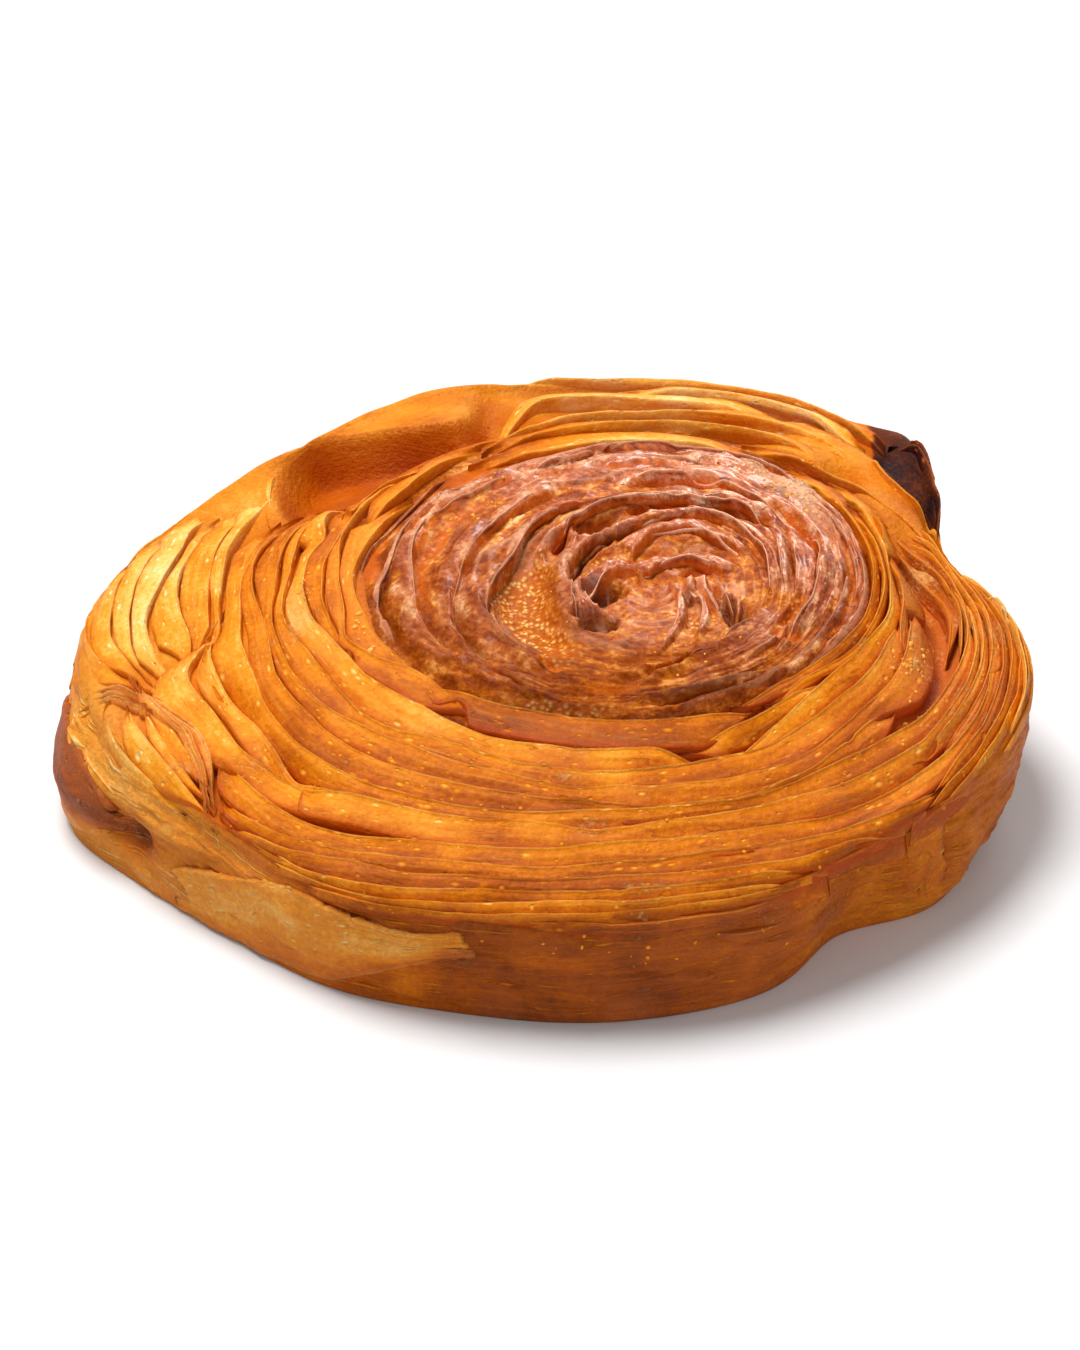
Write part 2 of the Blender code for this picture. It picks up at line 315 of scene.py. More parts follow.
def ball(name, segments, rings, cuts=0):
    """A closed ball from the add menu, to be shaped: its object, and each point's share of the way
    from the top pole to the bottom one and its angle round them in degrees."""
    bpy.ops.mesh.primitive_uv_sphere_add(segments=segments, ring_count=rings, radius=1.0)
    made = bpy.context.object
    made.name = made.data.name = name
    if cuts:
        bpy.ops.object.mode_set(mode="EDIT")
        bpy.ops.mesh.subdivide(number_cuts=cuts)
        bpy.ops.object.mode_set(mode="OBJECT")
    points = np.zeros(len(made.data.vertices) * 3)
    made.data.vertices.foreach_get("co", points)
    x, y, z = points.reshape(-1, 3).T
    return made, np.arctan2(np.hypot(x, y), z) / math.pi, np.degrees(np.arctan2(y, x)) % 360.0


def fill_points(made, points):
    made.data.vertices.foreach_set("co", (points * MM).ravel())
    made.data.update()


def note(made, **values):
    """Writes one number for each point of the mesh, for the material to read by its name."""
    for name, numbers in values.items():
        kept = made.data.attributes.get(name) or made.data.attributes.new(name, "FLOAT", "POINT")
        kept.data.foreach_set("value", np.broadcast_to(numbers, len(made.data.vertices)).astype(np.float32))


# Sockets of a Mix node for colours: share, the two colours, and the result.
MIX_SHARE, MIX_FIRST, MIX_SECOND, MIX_RESULT = 0, 6, 7, 2


class Wire:
    """What a shader works out at each point of a surface. Sums of wires and numbers become its nodes."""

    def __init__(self, tree, socket):
        self.tree, self.socket = tree, socket

    def math(self, operation, *others):
        return put(self.tree, "ShaderNodeMath", 0, enumerate((self, *others)), operation=operation)

    def __add__(self, other):
        return self.math("ADD", other)

    def __mul__(self, other):
        return self.math("MULTIPLY", other)

    def __sub__(self, other):
        return self.math("SUBTRACT", other)

    def __rsub__(self, other):
        return self * -1.0 + other

    def above(self, least):
        return self.math("MAXIMUM", least)

    def held(self):
        """Kept between 0 and 1."""
        return self.above(0.0).math("MINIMUM", 1.0)

    def toward(self, colour, share):
        """This colour, mixed by a share with another, which is a wire or sRGB from 0 to 255."""
        other = colour if isinstance(colour, Wire) else scene_colour(colour)
        links = {MIX_SHARE: share, MIX_FIRST: self, MIX_SECOND: other}
        return put(self.tree, "ShaderNodeMix", MIX_RESULT, links, data_type="RGBA")

    def ramp(self, stops):
        """The colour at this share of a ramp through (share, sRGB from 0 to 255) stops."""
        colour = put(self.tree, "ShaderNodeValToRGB", "Color", {"Fac": self})
        band = colour.socket.node.color_ramp
        while len(band.elements) < len(stops):
            band.elements.new(0.5)
        for element, (at, tint) in zip(band.elements, stops):
            element.position, element.color = at, scene_colour(tint)
        return colour

    def noise(self, scale, detail, roughness=0.5, distortion=0.0, outputs=0):
        settings = {"Scale": scale, "Detail": detail, "Roughness": roughness, "Distortion": distortion}
        return put(self.tree, "ShaderNodeTexNoise", outputs, {"Vector": self, **settings})

    def stretched(self, *scale):
        return put(self.tree, "ShaderNodeMapping", 0, {"Vector": self, "Scale": scale})


def scene_colour(colour):
    """Scene-linear colour of an sRGB one from 0 to 255."""
    shares = [value / 255.0 for value in colour]
    return (*[part / 12.92 if part <= 0.04045 else ((part + 0.055) / 1.055) ** 2.4 for part in shares], 1.0)


def feed(node, links):
    """Links a node's inputs to wires, or sets them to constants."""
    for label, value in dict(links).items():
        if isinstance(value, Wire):
            node.id_data.links.new(value.socket, node.inputs[label])
        else:
            node.inputs[label].default_value = value


def put(tree, kind, outputs, links=(), **settings):
    """Adds a node, sets and feeds it, and gives the wire of one output, or of each in a tuple."""
    node = tree.nodes.new(kind)
    for label, value in settings.items():
        setattr(node, label, value)
    feed(node, links)
    if isinstance(outputs, tuple):
        return [Wire(tree, node.outputs[label]) for label in outputs]
    return Wire(tree, node.outputs[outputs])


BAKE_STOPS = (
    (0.00, (246, 212, 146)),
    (0.16, (242, 182, 84)),
    (0.32, (228, 144, 28)),
    (0.48, (208, 112, 5)),
    (0.62, (176, 84, 4)),
    (0.76, (144, 66, 14)),
    (0.88, (106, 46, 16)),
    (1.00, (34, 12, 16)),
)
# Painted shade of the creases and deep places, a deep orange for light through the thin dough; a painted
# highlight on the lips; the rosy glaze and the dried sugar, which are the crust's own.
CREASE_SHADE, LIT_LIP, ROSY_GLAZE, DRIED_SUGAR = (176, 62, 0), (252, 180, 88), (206, 112, 66), (252, 200, 116)
# What the dough's shader reads: how far it is toasted, how deep it lies, which it paints as shade, how
# near it is to a lip, which it paints as a highlight, how much it is glazed or frosted with sugar, where
# it lies along and across the coil, how layered it looks.
READINGS = ("Toast", "Depth", "Lip", "Glaze", "Frost", "Along", "Across", "Layered")


def baked_dough_group():
    """Colour, roughness and height of browned dough, with painted shade in its creases and painted
    highlights on its lips and small ledges.
    """
    group = bpy.data.node_groups.new("baked dough", "ShaderNodeTree")
    for label in (*READINGS, "Mottle"):
        group.interface.new_socket(label, in_out="INPUT", socket_type="NodeSocketFloat")
    for label, kind in (("Color", "Color"), ("Roughness", "Float"), ("Height", "Float")):
        group.interface.new_socket(label, in_out="OUTPUT", socket_type="NodeSocket" + kind)
    given = put(group, "NodeGroupInput", (*READINGS, "Mottle"))
    toast, depth, lip, glaze, frost, along, across, layered, mottle = given
    place = put(group, "ShaderNodeTexCoord", "Object")
    coil = put(group, "ShaderNodeCombineXYZ", 0, {"X": along, "Y": across})
    broad = place.noise(150.0, 3.0)
    fine = place.noise(1500.0, 4.0, roughness=0.65)
    streak = coil.stretched(0.22, 1.3, 1.0).noise(1.0, 4.0, distortion=0.6)
    pressed = {"Vector": coil.stretched(0.55, 1.15, 1.0), "Scale": 1.0}
    distance, tint = put(group, "ShaderNodeTexVoronoi", ("Distance", "Color"), pressed)
    chance, size = put(group, "ShaderNodeSeparateColor", ("Red", "Green"), {"Color": tint})
    blister = (1.0 - distance * (size * 4.0 + 2.2)).above(0.0)
    blister = blister * (chance + broad * 2.4).math("GREATER_THAN", 1.50) * layered
    ledge = (coil.stretched(0.045, 0.5, 1.0).noise(1.0, 2.0, distortion=0.4) * 9.0).math("FRACT")
    seen = ((broad - 0.40) * 6.0).held() * layered
    # A painted highlight on the top edge of each small ledge of the layers, and painted shade at its foot.
    toast = toast - seen * (1.0 - ledge * 7.0).held() * 0.08 + seen * (ledge * 7.0 - 6.0).held() * 0.10
    for field, amount in ((broad, 0.46), (fine, 0.36), (streak, 0.30)):
        toast = toast + (field - 0.5) * amount * mottle
    # Pale blisters of the crust; a little lighter at the lips, part of their painted highlight.
    toast = toast - blister * 0.42 - lip * 0.06
    # Painted shade by depth in the creases, then the painted highlight's colour along the lips.
    crust = toast.ramp(BAKE_STOPS).toward(CREASE_SHADE, depth).toward(LIT_LIP, lip * 0.5)
    crust = crust.toward(ROSY_GLAZE, (glaze * (fine - 0.2) * 2.0).held())
    sugar = ((fine * 0.6 + broad * 0.5 + streak * 0.5 + frost * 0.25 - 0.95) * 5.0).held()
    crust = crust.toward(DRIED_SUGAR, sugar * 0.5)
    height = fine * 0.8 + blister + streak * 0.3 - ledge * seen * 0.2 + sugar * 0.1
    put(group, "NodeGroupOutput", (), {"Color": crust, "Roughness": fine * 0.3 + 0.28, "Height": height})
    return group


BAKED_DOUGH = baked_dough_group()


def new_material(name):
    material = bpy.data.materials.new(name)
    material.use_nodes = True
    return material, material.node_tree, material.node_tree.nodes["Principled BSDF"]


def read(tree, name):
    return put(tree, "ShaderNodeAttribute", "Fac", attribute_name=name)


def dough_material(name, mottle, relief):
    """Browned dough with a faint buttery sheen."""
    material, tree, shader = new_material(name)
    given = {label: read(tree, label.lower()) for label in READINGS}
    given["Mottle"] = mottle
    outputs = ("Color", "Roughness", "Height")
    colour, rough, height = put(tree, "ShaderNodeGroup", outputs, given, node_tree=BAKED_DOUGH)
    bump = put(tree, "ShaderNodeBump", 0, {"Height": height, "Strength": 0.8, "Distance": relief * MM})
    feed(shader, {"Base Color": colour, "Roughness": rough, "Normal": bump, "Specular IOR Level": 0.08})
    return material


def finished(piece, material):
    """Shades a piece, gives it its material and fastens it to the pastry."""
    bpy.ops.object.select_all(action="DESELECT")
    bpy.context.view_layer.objects.active = piece
    piece.select_set(True)
    bpy.ops.object.shade_smooth()
    piece.data.materials.clear()
    piece.data.materials.append(material)
    piece.select_set(False)
    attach(piece, "root")


def dough_body():
    """The body from under the dome out over the bed of the fan and down the side to the foot."""
    body, share, angle = ball("dough_body", BODY_SEGMENTS, BODY_RINGS, BODY_CUTS)
    station = np.interp(share, BODY_SHARES, BODY_STATIONS)
    points = on_turns(station, angle)
    pocket = pocket_share(station, angle)
    open_ground = np.exp(-((turn_between(angle, 128) / 30.0) ** 6)) * smooth((station - 3.1) / 0.2)
    swath = smooth((station - 3.5) / 0.15) * smooth((4.4 - station) / 0.1)
    open_ground = np.maximum(open_ground, swath * np.exp(-((turn_between(angle, 38) / 20.0) ** 6)))
    top = fan_swell(station, angle) - pinch_drop(station, angle)
    points[:, 2] += top * smooth((RIM + 0.7 - station) / 0.3)
    drop = BED_DROP + (BED_DROP_LEFT - BED_DROP) * near(angle, 188, 24)
    points[:, 2] -= drop * smooth((5.05 - station) / 0.4) * (1.0 - open_ground)
    points[:, 2] -= UNDER_DOME * smooth((2.95 - station) / 0.3)
    beyond = station - np.interp(angle, *np.array(POCKET_EDGE).T)
    fold = bell(beyond - 0.03, 0.035) * open_ground * near(angle, 120, 9)
    ground = 0.6 * smooth(beyond / 0.1) + 0.30 * cloud(points * (1.0, 1.0, 0.3), 6.0, 6)
    points[:, 2] += 0.8 * fold + ground * open_ground
    side = smooth((station - 4.85) / 0.3) * smooth((FOOT - station) / 0.12)
    bands = banded(points)
    out = BAND_RELIEF * cloud(bands, 9.0, 1) + 0.30 * cloud(points, 14.0, 2) + 0.26 * cloud(bands, 3.0, 3)
    out += 0.35 * (smooth((cloud(bands, 8.0, 7) - 0.1) / 0.12) - 0.5) + 0.15 * cloud(points, 1.4, 8)
    points[:, :2] += (side * out)[:, None] * outward(angle)
    under = share > BODY_SHARES[3]
    inward = np.where(under, (1.0 - share) / (1.0 - BODY_SHARES[3]), 1.0)
    points[:, :2] *= inward[:, None]
    points[:, 2] = np.where(under, 0.0, np.maximum(points[:, 2], 0.0))
    fill_points(body, points)
    # Painted shade: the bed under the sheets' lips, the floor of the pocket and the crease at its edge get
    # the deep orange of shade.
    bed = smooth((5.0 - station) / 0.2) * (1.0 - open_ground) * (1.0 - 0.7 * near(angle, 195, 28))
    crease = bell(beyond + 0.015, 0.02) * open_ground
    depth = np.maximum(0.62 * bed, 0.55 * smooth((pocket - 0.02) / 0.10) + 0.2 * crease)
    note(
        body,
        toast=toast_at(station, angle) + 0.07 * cloud(bands, 9.0, 4) + 0.13 * smooth(pocket) + 0.10 * fold,
        depth=depth * (1.0 - scorched_share(station, angle)),
        lip=0.0,
        glaze=glaze_at(station, angle, points) + 0.5 * fold,
        frost=frost_at(station, angle, points) - 0.6 * open_ground,
        layered=0.8 * side,
        along=26.0 * outward(angle).sum(axis=1),
        across=1.5 * points[:, 2] + 2.0 * cloud(points, 12.0, 5),
    )
    finished(body, dough_material("browned crust", 0.85, 0.7))
    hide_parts("kouign_amann")


dough_body()


# ---- Caramel dome -----------------------------------------------------------------------------
# The middle of the coil rises into a dome. Sugar and butter have boiled up over its turns and set as a
# glossy caramel skin, thick on the folds, thin and orange in the troughs between them. Painted onto it
# are an orange glow of light through the caramel in the troughs, shade in its creases and hollows and
# over its front half, sheen in the rosy tint of its plates and highlights on its lips.

# Folds: rise, half width in stations, lean outward, and the path as (angle, station) points.
DOME_FOLDS = (
    (1.2, 0.09, -0.5, ((8, 0.95), (25, 0.76), (40, 0.60), (60, 0.43), (90, 0.31), (120, 0.27),
     (140, 0.32))),
    (1.3, 0.13, 0.0, ((138, 0.36), (155, 0.50), (172, 0.66), (186, 0.84), (205, 0.97), (222, 0.88),
     (238, 0.76))),
    (1.1, 0.10, -0.3, ((20, 1.22), (45, 1.13), (62, 1.06), (76, 0.93), (90, 0.80), (108, 0.66),
     (128, 0.53))),
    (1.6, 0.12, -0.4, ((-8, 1.56), (18, 1.68), (45, 1.70), (60, 1.56), (70, 1.40), (82, 1.17), (98, 1.00),
     (125, 0.98))),
    (1.4, 0.11, -0.3, ((118, 0.97), (142, 1.05), (165, 1.10), (182, 1.09), (198, 1.15), (212, 1.22),
     (228, 1.32))),
    (1.0, 0.06, 0.0, ((126, 1.52), (136, 1.36), (144, 1.18), (152, 1.08))),
    (1.0, 0.06, 0.0, ((148, 1.50), (160, 1.42), (170, 1.22), (180, 1.12))),
    (1.5, 0.08, -0.5, ((-8, 1.82), (12, 1.88), (25, 2.03), (40, 2.26), (50, 2.24), (70, 1.97), (100, 1.70),
     (125, 1.54), (152, 1.46))),
    (1.4, 0.07, -0.4, ((112, 1.90), (140, 1.85), (158, 1.77), (172, 1.82), (186, 1.94), (200, 2.05),
     (222, 2.16), (242, 2.14))),
    (0.8, 0.05, 0.0, ((186, 1.90), (212, 1.90), (226, 1.87), (240, 1.78))),
    (1.0, 0.08, -0.2, ((112, 2.27), (135, 2.20), (152, 2.18), (180, 2.23), (196, 2.33), (212, 2.44),
     (230, 2.63), (246, 2.78))),
    (0.8, 0.08, 0.0, ((118, 2.54), (140, 2.60), (162, 2.64), (185, 2.58), (205, 2.64), (228, 2.72))),
    (0.9, 0.08, -0.3, ((-5, 2.36), (14, 2.56), (28, 2.54), (46, 2.45), (62, 2.48), (78, 2.40), (96, 2.20))),
    (0.7, 0.06, 0.0, ((46, 2.82), (62, 2.66), (78, 2.54), (100, 2.42))),
    (1.2, 0.06, 0.2, ((268, 1.40), (276, 1.04), (286, 0.78), (300, 0.55), (318, 0.36), (345, 0.22))),
    (1.2, 0.06, 0.2, ((292, 1.10), (304, 0.90), (318, 0.72), (332, 0.50), (350, 0.40), (368, 0.40))),
    (1.2, 0.05, 0.2, ((316, 1.10), (328, 0.78), (340, 0.62), (354, 0.55), (368, 0.56))),
    (1.2, 0.06, 0.0, ((322, 1.18), (336, 0.97), (346, 0.80), (356, 0.66))),
    (1.2, 0.10, -0.3, ((268, 2.10), (280, 1.80), (289, 1.60), (300, 1.50), (322, 1.50), (342, 1.56))),
    (0.9, 0.12, 0.0, ((318, 2.36), (336, 2.26), (352, 2.40), (368, 2.56))),
    (0.9, 0.05, -0.2, ((270, 2.66), (284, 2.60), (297, 2.66), (306, 2.82), (316, 2.98))),
    (0.8, 0.05, -0.3, ((135, 2.80), (150, 2.70), (168, 2.74), (180, 2.78), (190, 2.86), (214, 2.93))),
    (0.7, 0.05, -0.3, ((128, 2.94), (146, 2.85), (160, 2.83), (170, 2.90), (186, 2.98))),
    (0.5, 0.05, -0.3, ((300, 3.00), (316, 3.04), (334, 3.06), (352, 3.08), (372, 3.02))),
    (0.5, 0.05, -0.3, ((4, 3.06), (22, 3.00), (44, 2.92), (62, 2.84), (80, 2.72), (100, 2.62),
     (122, 2.56))),
    (0.6, 0.05, -0.2, ((236, 2.66), (243, 2.72), (250, 2.74), (257, 2.66))),
    (0.5, 0.05, -0.2, ((280, 2.86), (296, 2.90), (310, 2.92), (326, 2.86), (346, 2.84), (364, 2.90))),
    (0.5, 0.05, -0.2, ((336, 2.62), (352, 2.70), (370, 2.74), (388, 2.70), (402, 2.60))),
    (0.4, 0.04, -0.2, ((342, 2.98), (358, 2.97), (376, 2.90), (394, 2.86))),
    (0.5, 0.05, -0.2, ((348, 1.98), (366, 2.06), (380, 2.18), (394, 2.38))),
    (0.4, 0.05, -0.2, ((64, 2.86), (82, 2.72), (100, 2.60), (118, 2.46))),
    (0.9, 0.10, -0.2, ((256, 2.02), (263, 1.92), (269, 1.82), (276, 1.74))),
)
# Smooth plates of glaze: angle, station, half angle, half station, station drift per degree, rise.
DOME_PLATES = (
    (315, 1.85, 22, 0.26, 0.000, 0.5),
    (350, 2.42, 16, 0.22, 0.004, 0.5),
    (300, 2.30, 12, 0.20, 0.004, 0.3),
    (60, 2.72, 30, 0.16, -0.004, 0.3),
    (104, 2.52, 24, 0.22, -0.003, 0.2),
    (205, 2.14, 26, 0.10, 0.003, 0.3),
    (222, 2.40, 22, 0.12, 0.006, 0.3),
    (25, 1.98, 18, 0.08, 0.006, 0.2),
    (10, 2.22, 14, 0.14, 0.004, 0.2),
)
# Hollows: angle, station, half angle, half station, station drift per degree, depth, glow, grain. Glow is
# how much painted orange glow its floor gets, and what neither glows nor holds sugar gets painted shade;
# grain is how much sugar lies in it.
DOME_HOLLOWS = (
    (22, 0.55, 10, 0.15, -0.008, 1.6, 0.8, 0.0),
    (50, 0.82, 17, 0.14, -0.010, 0.8, 0.3, 0.4),
    (84, 0.50, 22, 0.08, -0.001, 0.9, 0.5, 0.2),
    (86, 1.47, 13, 0.19, -0.018, 2.9, 0.9, 0.0),
    (122, 1.20, 13, 0.15, -0.003, 2.2, 0.5, 0.0),
    (144, 1.38, 8, 0.09, -0.010, 1.6, 0.8, 0.0),
    (50, 2.06, 15, 0.12, -0.008, 2.2, 0.5, 0.0),
    (72, 2.30, 11, 0.07, -0.006, 1.6, 0.9, 0.0),
    (26, 2.43, 11, 0.09, -0.003, 1.8, 0.8, 0.0),
    (10, 2.80, 18, 0.06, -0.007, 1.3, 0.6, 0.0),
    (192, 0.62, 15, 0.22, 0.000, 3.6, 0.0, 0.0),
    (225, 0.95, 11, 0.16, -0.010, 3.4, 0.1, 0.0),
    (150, 0.74, 22, 0.12, 0.006, 1.0, 0.3, 0.8),
    (140, 0.90, 34, 0.06, 0.002, 1.6, 0.0, 0.0),
    (196, 1.60, 38, 0.28, 0.003, 2.3, 0.5, 1.0),
    (231, 1.98, 9, 0.08, 0.000, 0.8, 0.8, 0.1),
    (330, 0.93, 10, 0.12, -0.012, 2.2, 0.1, 0.0),
    (305, 0.70, 13, 0.14, -0.014, 0.7, 0.3, 0.9),
    (330, 0.46, 12, 0.07, -0.004, 0.8, 0.3, 0.0),
    (281, 1.64, 8, 0.14, -0.022, 2.2, 0.8, 0.0),
    (312, 1.34, 22, 0.07, -0.009, 1.6, 0.1, 0.0),
    (341, 2.00, 11, 0.10, 0.004, 0.9, 0.5, 0.8),
    (328, 2.22, 3, 0.30, 0.000, 0.8, 0.7, 0.0),
    (289, 2.75, 8, 0.09, 0.000, 1.6, 0.3, 0.0),
    (190, 2.80, 26, 0.06, 0.003, 1.3, 0.3, 0.0),
    (174, 2.86, 8, 0.07, 0.001, 1.2, 0.7, 0.0),
    (264, 2.28, 6, 0.18, 0.000, 0.4, 0.55, 0.0),
    (257, 2.87, 12, 0.09, 0.000, 0.5, 0.0, 0.55),
    (205, 2.95, 12, 0.07, 0.003, 0.4, 0.2, 0.4),
    (212, 2.30, 16, 0.05, 0.007, 0.8, 0.2, 0.0),
    (165, 2.45, 26, 0.06, 0.001, 0.6, 0.6, 0.3),
    (129, 2.76, 8, 0.11, 0.000, 0.9, 0.7, 0.0),
    (40, 2.86, 18, 0.17, 0.004, -0.3, 0.0, 1.0),
    (112, 2.78, 9, 0.09, 0.000, 0.4, 0.5, 0.3),
)
# Where the skin dips under the first sheets, as (angle, station) points.
DOME_RIM = (
    (0, 3.14), (25, 3.12), (45, 3.00), (60, 2.94), (85, 2.80), (110, 2.74), (126, 2.80), (150, 2.80),
     (180, 2.88),
    (200, 2.94), (225, 2.97), (245, 2.99), (265, 2.99), (285, 3.02), (310, 3.06), (335, 3.14), (360, 3.14),
)
DOME_EDGE = 3.50
DOME_BACK = 7.0  # how far its underside lies inside the body
DOME_SEGMENTS, DOME_RINGS, DOME_CUTS = 140, 42, 3
DOME_TOP_SHARE = 0.93
FOLD_END = 8.0  # degrees over which a fold rises at its ends
# Colours of the caramel by how thinly it lies: in the troughs, on the plates, each in the open and with
# painted shade for the front of the dome, and of the grains of sugar by their height. The plates' rosy
# tint is partly the glaze's own and partly painted sheen.
TROUGHS = (
    (0.30, (98, 36, 2)),
    (0.40, (148, 62, 8)),
    (0.47, (186, 90, 18)),
    (0.54, (218, 136, 50)),
    (0.62, (250, 206, 134)),
)
SHADED_TROUGHS = ((0.30, (96, 32, 0)), (0.44, (138, 58, 2)), (0.53, (172, 86, 14)), (0.63, (216, 138, 56)))
PLATES = ((0.30, (126, 46, 16)), (0.41, (172, 84, 46)), (0.49, (206, 126, 88)), (0.60, (244, 196, 162)))
SHADED_PLATES = ((0.30, (96, 32, 6)), (0.44, (132, 56, 16)), (0.54, (162, 84, 38)), (0.64, (200, 126, 78)))
SUGAR_GRAINS = ((0.0, (176, 84, 12)), (0.4, (214, 132, 42)), (0.8, (252, 214, 138)))
# Cracks in the caramel; a painted orange glow of light through it; painted shade; the pale lip colour,
# partly the lips' own and partly a painted highlight.
CRACKED, PAINTED_GLOW, SHADED, PALE_LIT_LIP = (112, 42, 14), (236, 108, 6), (92, 30, 2), (244, 190, 152)


def path_station(path, angle):
    """Station of a path at angles along it, on a smooth curve through its points."""
    at, values = np.array(path, float).T
    low = np.clip(np.searchsorted(at, angle) - 1, 0, len(at) - 2)
    span = at[low + 1] - at[low]
    return curved(values, np.gradient(values, at), low, np.clip((angle - at[low]) / span, 0.0, 1.0), span)


def along_path(path, angle):
    """Angles brought into the range of a path that may cross 0, and 1 between its ends, soft at them."""
    first, last = path[0][0], path[-1][0]
    along = first + (angle - first) % 360.0
    return along, smooth((along - first) / FOLD_END) * smooth((last - along) / FOLD_END)


def oval(station, angle, row):
    """1 inside the drifting oval that a row of plates or hollows begins with, 0 outside it."""
    middle, at, half_angle, half, drift = row[:5]
    away = turn_between(angle, middle)
    return np.exp(-((away / half_angle) ** 4) - ((station - at - drift * away) / half) ** 4)


def dome_skin(station, angle, crumb=1.0):
    """Points of the dome's skin, and what its material reads, at stations and angles. Crumb is the share
    of the small lumps."""
    points = on_turns(station, angle)
    points[:, 2] += fan_swell(station, angle)
    flat = points.copy()
    wander = 0.040 * cloud(flat, 5.0, 11) + 0.022 * cloud(flat, 2.0, 12)
    rise, lean, ridge, glow, grain, dark, smoothed = np.zeros((7, len(angle)))
    for height, half, out, path in DOME_FOLDS:
        along, there = along_path(path, angle)
        off = (station + wander - path_station(path, along)) / half
        crest = there * smooth((off + 1.10) / 0.45) * smooth((2.0 - off) / 1.8)
        rise += 0.90 * height * (0.85 + 0.30 * cloud(flat, 4.5, 13)) * crest
        lean += out * crest
        # Just inside each fold's foot a crease, given painted shade, and on its inner wall a painted glow.
        ridge = np.maximum(ridge, crest)
        crack = there * bell(off + 1.25, 0.24)
        rise -= 0.40 * crack
        dark = np.maximum(dark, 0.45 * crack)
        glow = np.maximum(glow, 0.75 * there * bell(off + 0.98, 0.22))
    for row in DOME_PLATES:
        inside = oval(station + 1.6 * wander, angle, row)
        rise += row[5] * smooth(inside / 0.6)
        smoothed = np.maximum(smoothed, smooth(inside / 0.4))
    for row in DOME_HOLLOWS:
        inside = oval(station + wander, angle, row)
        depth, shine, sugar = row[5:]
        rise -= depth * inside
        ridge *= 1.0 - 0.9 * inside
        smoothed *= 1.0 - inside
        # A hollow's floor gets painted glow, and painted shade where it neither glows nor holds sugar.
        glow = np.maximum(glow * (1.0 - inside), shine * inside)
        grain = np.maximum(grain * (1.0 - inside), sugar * inside)
        dark = np.maximum(dark * (1.0 - inside), (1.0 - shine - 0.8 * sugar) * inside)
    inner = smooth((np.interp(angle % 360.0, *np.array(DOME_RIM).T) - station) / 0.14)
    crust = 0.80 * ridge + 0.45 * cloud(flat, 3.2, 17) + 0.15 * cloud(flat, 0.9, 18)
    crust -= 0.6 * glow + 0.7 * grain
    plate = np.maximum(smooth((crust - 0.25) / 0.30), 0.9 * smoothed) * inner
    crusty = near(angle, 178, 58) * bell(station - 2.5, 0.55)
    rough = (1.0 - 0.8 * glow) * (1.0 - 0.8 * plate) * (0.35 + 0.65 * crusty)
    lumps = 0.26 * cloud(flat, 3.2, 14) + 0.60 * (0.4 - np.abs(cloud(flat, 1.7, 15))) * rough
    grit = (0.10 + 0.20 * grain) * cloud(flat, 0.8, 16) * (0.25 + 0.75 * rough)
    reach = np.radians(angle) * guide(station, HALF_WIDTH) / 6.0
    rows = np.stack(((station + wander) * 8.5, reach, np.full(len(angle), 3.0)), axis=1)
    edge = smooth((0.22 - np.abs(cloud(rows, 1.0, 19))) / 0.22)
    edge *= (1.0 - 0.8 * glow) * (1.0 - 0.8 * grain) * inner
    rise = (rise + lumps * crumb) * inner + (grit + 0.20 * plate + 0.26 * edge) * crumb
    rise -= 1.3 * (1.0 - inner) + 1.6 * smooth((station - 3.34) / 0.16)
    points[:, :2] += (lean * inner)[:, None] * outward(angle)
    points[:, 2] += rise
    # Painted shade over the front half of the dome and under the first sheets past its rim; it also weakens
    # the rosy plates with their painted sheen, the lips and the coat there.
    amber = smooth((station - 0.60) / 0.9) * (0.50 + 0.50 * np.cos(np.radians(angle - 257.0))) ** 1.4
    amber = np.maximum(amber, 0.8 * (1.0 - inner))
    # The small lips are pale, partly their own colour and partly a painted highlight, weaker on the shaded
    # front; the second term is a painted highlight on the rim at the back right.
    lip = 0.35 * edge * smooth((cloud(points, 6.0, 20) + 0.2) / 0.3) * (1.0 - 0.8 * amber)
    lip = np.maximum(lip, 0.75 * near(angle, 40, 17) * bell(station - 2.84, 0.17))
    looks = {"glow": glow, "grain": grain, "dark": np.clip(dark, 0.0, 1.0), "amber": amber, "plate": plate}
    return points, {**looks, "lip": lip, "turn": 9.0 * (station + wander)}


def caramel_dome():
    """The dome's skin, closed underneath inside the body."""
    dome, share, angle = ball("caramel_dome", DOME_SEGMENTS, DOME_RINGS, DOME_CUTS)
    points, looks = dome_skin(np.minimum(share / DOME_TOP_SHARE, 1.0) * DOME_EDGE, angle)
    under = np.clip((share - DOME_TOP_SHARE) / (1.0 - DOME_TOP_SHARE), 0.0, 1.0)
    middle = TURNS[3, [MIDDLE_X, MIDDLE_Y]]
    points[:, :2] = middle + (points[:, :2] - middle) * ((1.0 - under) ** 0.5)[:, None]
    points[:, 2] -= DOME_BACK * np.sqrt(under)
    fill_points(dome, points)
    note(dome, **looks)
    finished(dome, CARAMEL)


